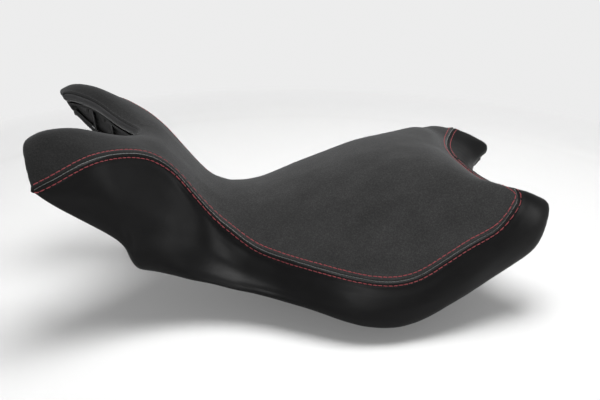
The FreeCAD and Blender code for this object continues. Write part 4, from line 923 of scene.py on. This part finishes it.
def on_top(dist):
    """Points of the upper skin a given distance inside the seam, with surface normals."""
    d = np.full(len(sp), dist * .8)
    base = seam3(sp)
    for _ in range(14):
        q = p0 + n_in * d[:, None]
        P = np.stack([q[:, 0], q[:, 1], top_z(q[:, 0], q[:, 1])], -1)
        real = np.linalg.norm(P - base, axis=1)
        d = np.clip(d * (dist / np.maximum(real, .1)) ** .7, .3, 9)
        d = smooth1(d, 2)
    q = p0 + n_in * d[:, None]
    P = np.stack([q[:, 0], q[:, 1], top_z(q[:, 0], q[:, 1])], -1)
    zx = (top_z(q[:, 0] + 1, q[:, 1]) - top_z(q[:, 0] - 1, q[:, 1])) / 2
    zy = (top_z(q[:, 0], q[:, 1] + 1) - top_z(q[:, 0], np.abs(q[:, 1] - 1))) / 2
    zy[-1] = 0
    N = np.stack([-zx, -zy, np.ones(len(zx))], -1)
    N /= np.linalg.norm(N, axis=1)[:, None]
    P = smooth1(P, 4)
    P[-1, 1] = 0
    return P, N


def on_side(dist):
    """Points of the side skin a given distance below the seam, with surface normals."""
    row, nrm = [], []
    for k in range(len(ss)):
        c = band[k][:20]
        a = arclen(c)
        row.append([np.interp(dist, a, c[:, q]) for q in range(3)])
        nrm.append([np.interp(dist, a, N_b[k][:20, q]) for q in range(3)])
    row, nrm = np.array(row), np.array(nrm)
    row = np.stack([np.interp(sp, ss, row[:, q]) for q in range(3)], -1)
    nrm = np.stack([np.interp(sp, ss, nrm[:, q]) for q in range(3)], -1)
    row, nrm = smooth1(row, 4), smooth1(nrm, 4)
    row[-1, 1] = 0
    nrm[-1, 1] = 0
    return row, nrm / np.linalg.norm(nrm, axis=1)[:, None]


top_tree, side_tree = surface_of(top_panel), surface_of(right_panel, left_panel)
cu, nu = lay(top_tree, *on_top(STITCH_OFFSET))
cl, nl = lay(side_tree, *on_side(STITCH_OFFSET))
upper = thread_mesh("red_stitches_upper", *mirror_path(cu, nu, sp, HALF), STITCH_PITCH, .86, .50, .30, .5, 3)
lower = thread_mesh("red_stitches_lower", *mirror_path(cl, nl, sp, HALF), STITCH_PITCH, .86, .50, .30, .5, 4)
# the joining thread in the seam valley follows the CAD part; its light grey colour is a painted highlight for the sheen
# on the seam's fold edges
cm = seam3(sp)
nm = nu + nl
nm /= np.linalg.norm(nm, axis=1)[:, None]
cm = cm - nm * .75
cm[-1, 1] = 0
joining_thread_highlight = thread_mesh("joining_thread_painted_highlight", *mirror_path(cm, nm, sp, HALF), 4.0, .97, .36, .22, .12, 5, along=9)
gk = slice(8, len(gp))
off3 = gp[gk] + left_n[:len(gp)][gk] * 3.0
off3[-1, 1] = 0
go = np.stack([off3[:, 0], off3[:, 1], top_z(off3[:, 0], off3[:, 1]) + .35], -1)
gn = np.tile([0, 0, 1.0], (len(go), 1))
go, gn = lay(top_tree, go, gn)
ga_s = arclen(go)
gap_thread = thread_mesh("dark_gap_stitches", *mirror_path(go, gn, ga_s + 4, ga_s[-1] + 4), 4.6, .86, .30, .12, .4, 6, along=9)


# ----------------------------------------------------------------------------
# foam and film under the cover
# ----------------------------------------------------------------------------
def soft_copy(node, name, voxel, passes, wobble, seed):
    """A softened copy of a CAD solid: remeshed, relaxed and given an uneven surface."""
    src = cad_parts[node]
    ob = bpy.data.objects.new(name, src.data.copy())
    bpy.context.scene.collection.objects.link(ob)
    ob.data.materials.clear()
    md = ob.modifiers.new("remesh", "REMESH")
    md.mode = "VOXEL"
    md.voxel_size = voxel * MM
    md.use_smooth_shade = True
    sm = ob.modifiers.new("relax", "SMOOTH")
    sm.factor = .5
    sm.iterations = passes
    bake(ob)
    me = ob.data
    n = len(me.vertices)
    co = np.zeros(n * 3, np.float32)
    me.vertices.foreach_get("co", co)
    no = np.zeros(n * 3, np.float32)
    me.vertex_normals.foreach_get("vector", no)
    co, no = co.reshape(-1, 3).astype(float), no.reshape(-1, 3).astype(float)
    h = wobble * noise_3d(co / MM, seed, 9.0) + wobble * .6 * noise_3d(co / MM, seed + 1, 4.0) - wobble
    co = co + no * (h * MM)[:, None]
    me.vertices.foreach_set("co", co.astype(np.float32).ravel())
    me.update()
    me.polygons.foreach_set("use_smooth", np.ones(len(me.polygons), bool))
    return ob


foam = soft_copy("foam_core", "moulded_foam", 3.5, 3, .22, 51)

# ----------------------------------------------------------------------------
# materials
# ----------------------------------------------------------------------------
def lin(c):
    c = c / 255.0
    return c / 12.92 if c <= .04045 else ((c + .055) / 1.055) ** 2.4


def grey(v, tint=(1, 1, 1)):
    g = lin(v)
    return (g * tint[0], g * tint[1], g * tint[2], 1)


class Mat:
    def __init__(self, name):
        self.m = bpy.data.materials.new(name)
        self.m.use_nodes = True
        self.nt = self.m.node_tree
        self.b = self.nt.nodes["Principled BSDF"]
        self.co = self.nt.nodes.new("ShaderNodeTexCoord").outputs["Object"]

    def put(self, sock, v):
        s = self.b.inputs[sock]
        if hasattr(v, "links"):
            self.nt.links.new(v, s)
        else:
            s.default_value = v

    def noise(self, scale, detail=2.0, rough=.5, stretch=None, offset=(0, 0, 0)):
        n = self.nt.nodes.new("ShaderNodeTexNoise")
        n.inputs["Scale"].default_value = scale
        n.inputs["Detail"].default_value = detail
        n.inputs["Roughness"].default_value = rough
        src = self.co
        if stretch or any(offset):
            mp = self.nt.nodes.new("ShaderNodeMapping")
            mp.inputs["Scale"].default_value = stretch or (1, 1, 1)
            mp.inputs["Location"].default_value = offset
            self.nt.links.new(src, mp.inputs["Vector"])
            src = mp.outputs["Vector"]
        self.nt.links.new(src, n.inputs["Vector"])
        return n.outputs["Fac"]

    def cells(self, scale, feature="F1", rand=1.0):
        n = self.nt.nodes.new("ShaderNodeTexVoronoi")
        n.feature = feature
        n.inputs["Scale"].default_value = scale
        n.inputs["Randomness"].default_value = rand
        self.nt.links.new(self.co, n.inputs["Vector"])
        return n.outputs["Distance"]

    def ramp(self, fac, stops):
        n = self.nt.nodes.new("ShaderNodeValToRGB")
        e = n.color_ramp.elements
        while len(e) > 1:
            e.remove(e[-1])
        e[0].position, e[0].color = stops[0]
        for p, c in stops[1:]:
            k = e.new(p)
            k.color = c
        self.nt.links.new(fac, n.inputs["Fac"])
        return n.outputs["Color"]

    def maths(self, op, a, b):
        n = self.nt.nodes.new("ShaderNodeMath")
        n.operation = op
        for k, v in enumerate((a, b)):
            if hasattr(v, "links"):
                self.nt.links.new(v, n.inputs[k])
            else:
                n.inputs[k].default_value = v
        return n.outputs[0]

    def mix(self, fac, a, b, mode="MIX"):
        n = self.nt.nodes.new("ShaderNodeMix")
        n.data_type = "RGBA"
        n.blend_type = mode
        for key, v in ((0, fac), (6, a), (7, b)):
            if hasattr(v, "links"):
                self.nt.links.new(v, n.inputs[key])
            else:
                n.inputs[key].default_value = v
        return n.outputs[2]

    def bump(self, h, dist, strength=1.0, normal=None):
        n = self.nt.nodes.new("ShaderNodeBump")
        n.inputs["Distance"].default_value = dist
        n.inputs["Strength"].default_value = strength
        self.nt.links.new(h, n.inputs["Height"])
        if normal is not None:
            self.nt.links.new(normal, n.inputs["Normal"])
        return n.outputs["Normal"]


def make_suede():
    m = Mat("suede_charcoal")
    fibre = m.noise(1400, 3, .6)
    speck = m.noise(620, 2, .55)
    nap = m.noise(16, 3, .55, stretch=(1, 2.2, 1))
    hand = m.noise(46, 3, .6, stretch=(1.0, 1.6, 1), offset=(3, 1, 2))
    t = m.maths("ADD", m.maths("MULTIPLY", fibre, .40), m.maths("MULTIPLY", speck, .60))
    base = m.ramp(t, [(.22, grey(44, (1, .99, .98))), (.5, grey(58)), (.8, grey(79, (1, .99, .97)))])
    shade = m.ramp(m.maths("ADD", m.maths("MULTIPLY", nap, .6), m.maths("MULTIPLY", hand, .4)),
                   [(.3, (.80, .80, .80, 1)), (.5, (1, 1, 1, 1)), (.7, (1.22, 1.22, 1.22, 1))])
    # painted shade: the base colour is darkened on the wings, toward the front, where the suede looks darker under the
    # lights
    xyz = m.nt.nodes.new("ShaderNodeSeparateXYZ")
    m.nt.links.new(m.co, xyz.inputs[0])
    lay = m.ramp(m.maths("ADD", m.maths("MULTIPLY", xyz.outputs["X"], 3.0), 1.0),
                 [(.22, (.50, .50, .50, 1)), (.42, (.66, .66, .66, 1)), (.60, (1, 1, 1, 1)), (.8, (1.06, 1.06, 1.06, 1)), (1, (1, 1, 1, 1))])
    # the wings' painted shade is multiplied into the base colour here
    m.put("Base Color", m.mix(1.0, m.mix(1.0, base, shade, "MULTIPLY"), lay, "MULTIPLY"))
    m.put("Roughness", 1.0)
    m.put("Diffuse Roughness", 1.0)
    m.put("Specular IOR Level", .12)
    m.put("Sheen Weight", .16)
    m.put("Sheen Roughness", .45)
    m.put("Sheen Tint", (.95, .97, 1, 1))
    nrm = m.bump(fibre, .00025, .55)
    nrm = m.bump(speck, .0005, .45, nrm)
    m.put("Normal", nrm)
    return m.m


def make_vinyl(name, base, rough, grain, spec):
    m = Mat(name)
    pores = m.cells(1250)
    fine = m.noise(2400, 2, .5)
    wear = m.noise(30, 4, .6)
    m.put("Base Color", m.mix(1.0, base, m.ramp(wear, [(.3, (.9, .9, .9, 1)), (.7, (1.12, 1.12, 1.12, 1))]), "MULTIPLY"))
    r = m.ramp(wear, [(.25, (rough - .05,) * 3 + (1,)), (.75, (rough + .07,) * 3 + (1,))])
    m.put("Roughness", r)
    m.put("Specular IOR Level", spec)
    h = m.maths("ADD", m.maths("MULTIPLY", pores, .7), m.maths("MULTIPLY", fine, .35))
    n = m.bump(h, .00012, grain)
    n = m.bump(m.noise(90, 3, .55), .0007, .22, n)
    m.put("Normal", n)
    return m.m


def make_thread(name, colour, lighter):
    m = Mat(name)
    f = m.noise(3200, 2, .5, stretch=(1, 1, 2.5))
    m.put("Base Color", m.ramp(f, [(.3, colour), (.72, lighter)]))
    m.put("Roughness", .62)
    m.put("Specular IOR Level", .35)
    m.put("Sheen Weight", .15)
    m.put("Normal", m.bump(f, .0002, .5))
    return m.m


def make_plastic():
    m = Mat("pan_plastic_moulded")
    spark = m.cells(1500)
    rough = m.noise(420, 3, .6)
    scuff = m.noise(22, 5, .65)
    m.put("Base Color", m.ramp(scuff, [(.3, (.0085, .0085, .009, 1)), (.7, (.0165, .016, .016, 1))]))
    m.put("Roughness", m.ramp(scuff, [(.3, (.50, .50, .50, 1)), (.7, (.68, .68, .68, 1))]))
    m.put("Specular IOR Level", .42)
    n = m.bump(m.maths("ADD", m.maths("MULTIPLY", spark, .5), m.maths("MULTIPLY", rough, .5)), .00018, .5)
    m.put("Normal", n)
    return m.m


def make_rubber():
    m = Mat("rubber_moulded")
    g = m.noise(900, 3, .6)
    d = m.noise(60, 4, .6)
    m.put("Base Color", m.ramp(d, [(.3, (.012, .012, .012, 1)), (.75, (.028, .027, .026, 1))]))
    m.put("Roughness", .82)
    m.put("Specular IOR Level", .3)
    m.put("Normal", m.bump(g, .00018, .6))
    return m.m


def make_metal(name, c0, c1, r0, r1, scale, crystal=0.0):
    m = Mat(name)
    n0 = m.noise(scale, 4, .62)
    m.put("Metallic", 1.0)
    m.put("Base Color", m.ramp(n0, [(.3, c0), (.7, c1)]))
    m.put("Roughness", m.ramp(n0, [(.3, (r0,) * 3 + (1,)), (.7, (r1,) * 3 + (1,))]))
    h = m.noise(scale * 14, 2, .6)
    nb = m.bump(h, .00008, .35)
    if crystal:
        nb = m.bump(m.cells(crystal), .0001, .3, nb)
    m.put("Normal", nb)
    return m.m


def make_film():
    m = Mat("barrier_film")
    w = m.noise(38, 5, .62)
    f = m.noise(160, 3, .6)
    m.put("Base Color", m.ramp(w, [(.3, (.50, .53, .55, 1)), (.7, (.66, .69, .70, 1))]))
    m.put("Roughness", .28)
    m.put("Specular IOR Level", .55)
    n = m.bump(w, .002, .5)
    n = m.bump(f, .0005, .35, n)
    m.put("Normal", n)
    return m.m


def make_foam():
    m = Mat("foam_cells")
    c = m.cells(620)
    c2 = m.cells(1400)
    age = m.noise(14, 4, .6)
    m.put("Base Color", m.ramp(age, [(.3, (.052, .050, .048, 1)), (.7, (.088, .084, .078, 1))]))
    m.put("Roughness", .95)
    m.put("Specular IOR Level", .15)
    m.put("Subsurface Weight", 0.0)
    n = m.bump(m.maths("ADD", m.maths("MULTIPLY", c, .6), m.maths("MULTIPLY", c2, .4)), .0006, .75)
    m.put("Normal", n)
    return m.m


M_SUEDE = make_suede()
M_VINYL = make_vinyl("vinyl_satin_black", (.0046, .0046, .0048, 1), .39, .30, .13)
M_STRIP = make_vinyl("vinyl_smooth_grey", (.042, .042, .043, 1), .42, .22, .30)
M_RED = make_thread("thread_red", (.21, .022, .030, 1), (.36, .060, .068, 1))
# light grey joining thread: the colour is a painted highlight for the sheen on the seam's fold edges
M_THREAD_HIGHLIGHT = make_thread("thread_grey_painted_highlight", (.12, .125, .12, 1), (.25, .26, .25, 1))
M_DARKT = make_thread("thread_dark", (.016, .016, .017, 1), (.034, .034, .036, 1))
M_PAN = make_plastic()
M_RUB = make_rubber()
M_ZINC = make_metal("zinc_plated_steel", (.46, .46, .45, 1), (.66, .66, .64, 1), .28, .44, 120, 260)
M_SCREW = make_metal("dark_plated_steel", (.045, .045, .047, 1), (.09, .09, .092, 1), .32, .46, 200)
M_STAPLE = make_metal("staple_wire", (.38, .38, .40, 1), (.58, .58, .58, 1), .26, .42, 240)
M_BRASS = make_metal("knurled_brass", (.56, .38, .15, 1), (.72, .52, .24, 1), .25, .42, 180)
M_FILM = make_film()
M_FOAM = make_foam()

SOFT = [
    (top_panel, M_SUEDE, "suede", ("top_panel",)),
    (right_panel, M_VINYL, "vinyl", ("right_side_panel",)),
    (left_panel, M_VINYL, "vinyl", ("left_side_panel",)),
    (gap_piece, M_STRIP, "strip_vinyl", ("gap_strip",)),
    (joining_thread_highlight, M_THREAD_HIGHLIGHT, "grey_thread", ("seam_joining_thread",)),
    (upper, M_RED, "red_thread", ("upper_stitch_row",)),
    (lower, M_RED, "red_thread", ("lower_stitch_row",)),
    (gap_thread, M_DARKT, "dark_thread", ("gap_strip_stitches",)),
    (foam, M_FOAM, "foam", ("foam_core",)),
]
for ob, mt, slot_name, nodes_ in SOFT:
    ob.data.materials.clear()
    ob.data.materials.append(mt)
    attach(ob, "root")
    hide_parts(*nodes_)

HARD = {"moisture_barrier": M_FILM, "base_pan": M_PAN, "cover_staples": M_STAPLE, "front_tongue": M_ZINC, "rear_bracket": M_ZINC,
        "tongue_screws": M_SCREW, "bracket_screws": M_SCREW, "screw_washers": M_ZINC, "front_inserts": M_BRASS,
        "rear_inserts": M_BRASS, "front_feet": M_RUB, "rear_feet": M_RUB, "wing_rest_pads": M_RUB}
for node, mt in HARD.items():
    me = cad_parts[node].data
    me.materials.clear()
    me.materials.append(mt)

# ----------------------------------------------------------------------------
# studio
# ----------------------------------------------------------------------------
def floor_disc():
    rings = [0, .15, .3, .45, .6, .75, .9, 1.1, 1.4, 1.9, 2.6, 3.6, 5, 8, 14, 30]
    n = 96
    v, f = [(0, 0, 0)], []
    for r in rings[1:]:
        for k in range(n):
            a = 2 * math.pi * k / n
            v.append((r * math.cos(a), r * math.sin(a), 0))
    for k in range(n):
        f.append((0, 1 + k, 1 + (k + 1) % n))
    for q in range(len(rings) - 2):
        for k in range(n):
            a, b = 1 + q * n + k, 1 + q * n + (k + 1) % n
            f.append((a, a + n, b + n, b))
    me = bpy.data.meshes.new("studio_floor")
    me.from_pydata(v, [], f)
    me.update()
    ob = bpy.data.objects.new("studio_floor", me)
    bpy.context.scene.collection.objects.link(ob)
    return ob


WORLD_FILL = .47
floor = floor_disc()
fm = Mat("floor_pale")
nt = fm.nt
ln = nt.nodes.new("ShaderNodeVectorMath")
ln.operation = "LENGTH"
nt.links.new(fm.co, ln.inputs[0])
fm.put("Base Color", (.45, .45, .45, 1))
fm.put("Roughness", .75)
fm.put("Specular IOR Level", .2)
glow = nt.nodes.new("ShaderNodeEmission")
glow.inputs["Color"].default_value = (.845, .845, .845, 1)
lp = nt.nodes.new("ShaderNodeLightPath")
nt.links.new(fm.maths("ADD", fm.maths("MULTIPLY", lp.outputs["Is Camera Ray"], .55), .45), glow.inputs["Strength"])
fade = fm.ramp(fm.maths("MULTIPLY", ln.outputs["Value"], .5), [(.0, (0, 0, 0, 1)), (.34, (0, 0, 0, 1)), (.46, (1, 1, 1, 1))])
mx = nt.nodes.new("ShaderNodeMixShader")
nt.links.new(fade, mx.inputs[0])
nt.links.new(fm.b.outputs[0], mx.inputs[1])
nt.links.new(glow.outputs[0], mx.inputs[2])
nt.links.new(mx.outputs[0], nt.nodes["Material Output"].inputs["Surface"])
floor.data.materials.append(fm.m)
floor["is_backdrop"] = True

world = bpy.data.worlds.new("studio")
bpy.context.scene.world = world
world.use_nodes = True
wt = world.node_tree
bg = wt.nodes["Background"]
bg.inputs["Color"].default_value = (1, 1, 1, 1)
wp = wt.nodes.new("ShaderNodeLightPath")
wm = wt.nodes.new("ShaderNodeMath")
wm.operation = "MULTIPLY_ADD"
wt.links.new(wp.outputs["Is Camera Ray"], wm.inputs[0])
wm.inputs[1].default_value = .845 - WORLD_FILL
wm.inputs[2].default_value = WORLD_FILL
wt.links.new(wm.outputs[0], bg.inputs["Strength"])


def area(name, loc, target, size, power, colour=(1, 1, 1)):
    li = bpy.data.lights.new(name, "AREA")
    li.shape = "RECTANGLE"
    li.size, li.size_y = size
    li.energy = power
    li.color = colour
    ob = bpy.data.objects.new(name, li)
    ob.location = loc
    d = Vector(target) - Vector(loc)
    ob.rotation_euler = d.to_track_quat("-Z", "Y").to_euler()
    bpy.context.scene.collection.objects.link(ob)
    return ob


area("overhead_softbox", (.14, -.10, 1.42), (.03, 0, .1), (.9, .6), 19.0)
for name_, at_, size_, power_ in (("glint_front", (-.15, -1.5, .86), .30, 5.8), ("glint_rear", (1.5, -.85, .42), .5, 5.0)):
    area(name_, at_, (0, -.08, .1), (size_, size_), power_).visible_diffuse = False
sun = bpy.data.lights.new("floor_fill", "SUN")
sun.energy = 1.15
sun.angle = .30
floor_fill = bpy.data.objects.new("floor_fill", sun)
floor_fill.rotation_euler = Vector((.05, .50, -.86)).to_track_quat("-Z", "Y").to_euler()
bpy.context.scene.collection.objects.link(floor_fill)
lit = bpy.data.collections.new("lit_by_floor_fill")
lit.objects.link(floor)
floor_fill.light_linking.receiver_collection = lit
floor_fill.light_linking.blocker_collection = lit

cam = bpy.data.cameras.new("camera")
cam.lens = 42
cam.sensor_width = 36
cam.clip_start = .02
cam_ob = bpy.data.objects.new("camera", cam)
cam_ob.location = (-.088, -.785, .470)
cam_ob.rotation_euler = (math.radians(90 - 24.57), 0, -math.atan2(.120, .993))
bpy.context.scene.collection.objects.link(cam_ob)
bpy.context.scene.camera = cam_ob
bpy.context.scene.view_settings.view_transform = "Standard"
bpy.context.scene.view_settings.look = "None"

NEW_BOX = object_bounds()


def plain(v):
    if isinstance(v, dict):
        return {str(k): plain(q) for k, q in v.items()}
    if isinstance(v, (int, float)):
        return float(v)
    return [plain(q) for q in v]


{"cad": plain(CAD_BOX), "visual": plain(NEW_BOX)}
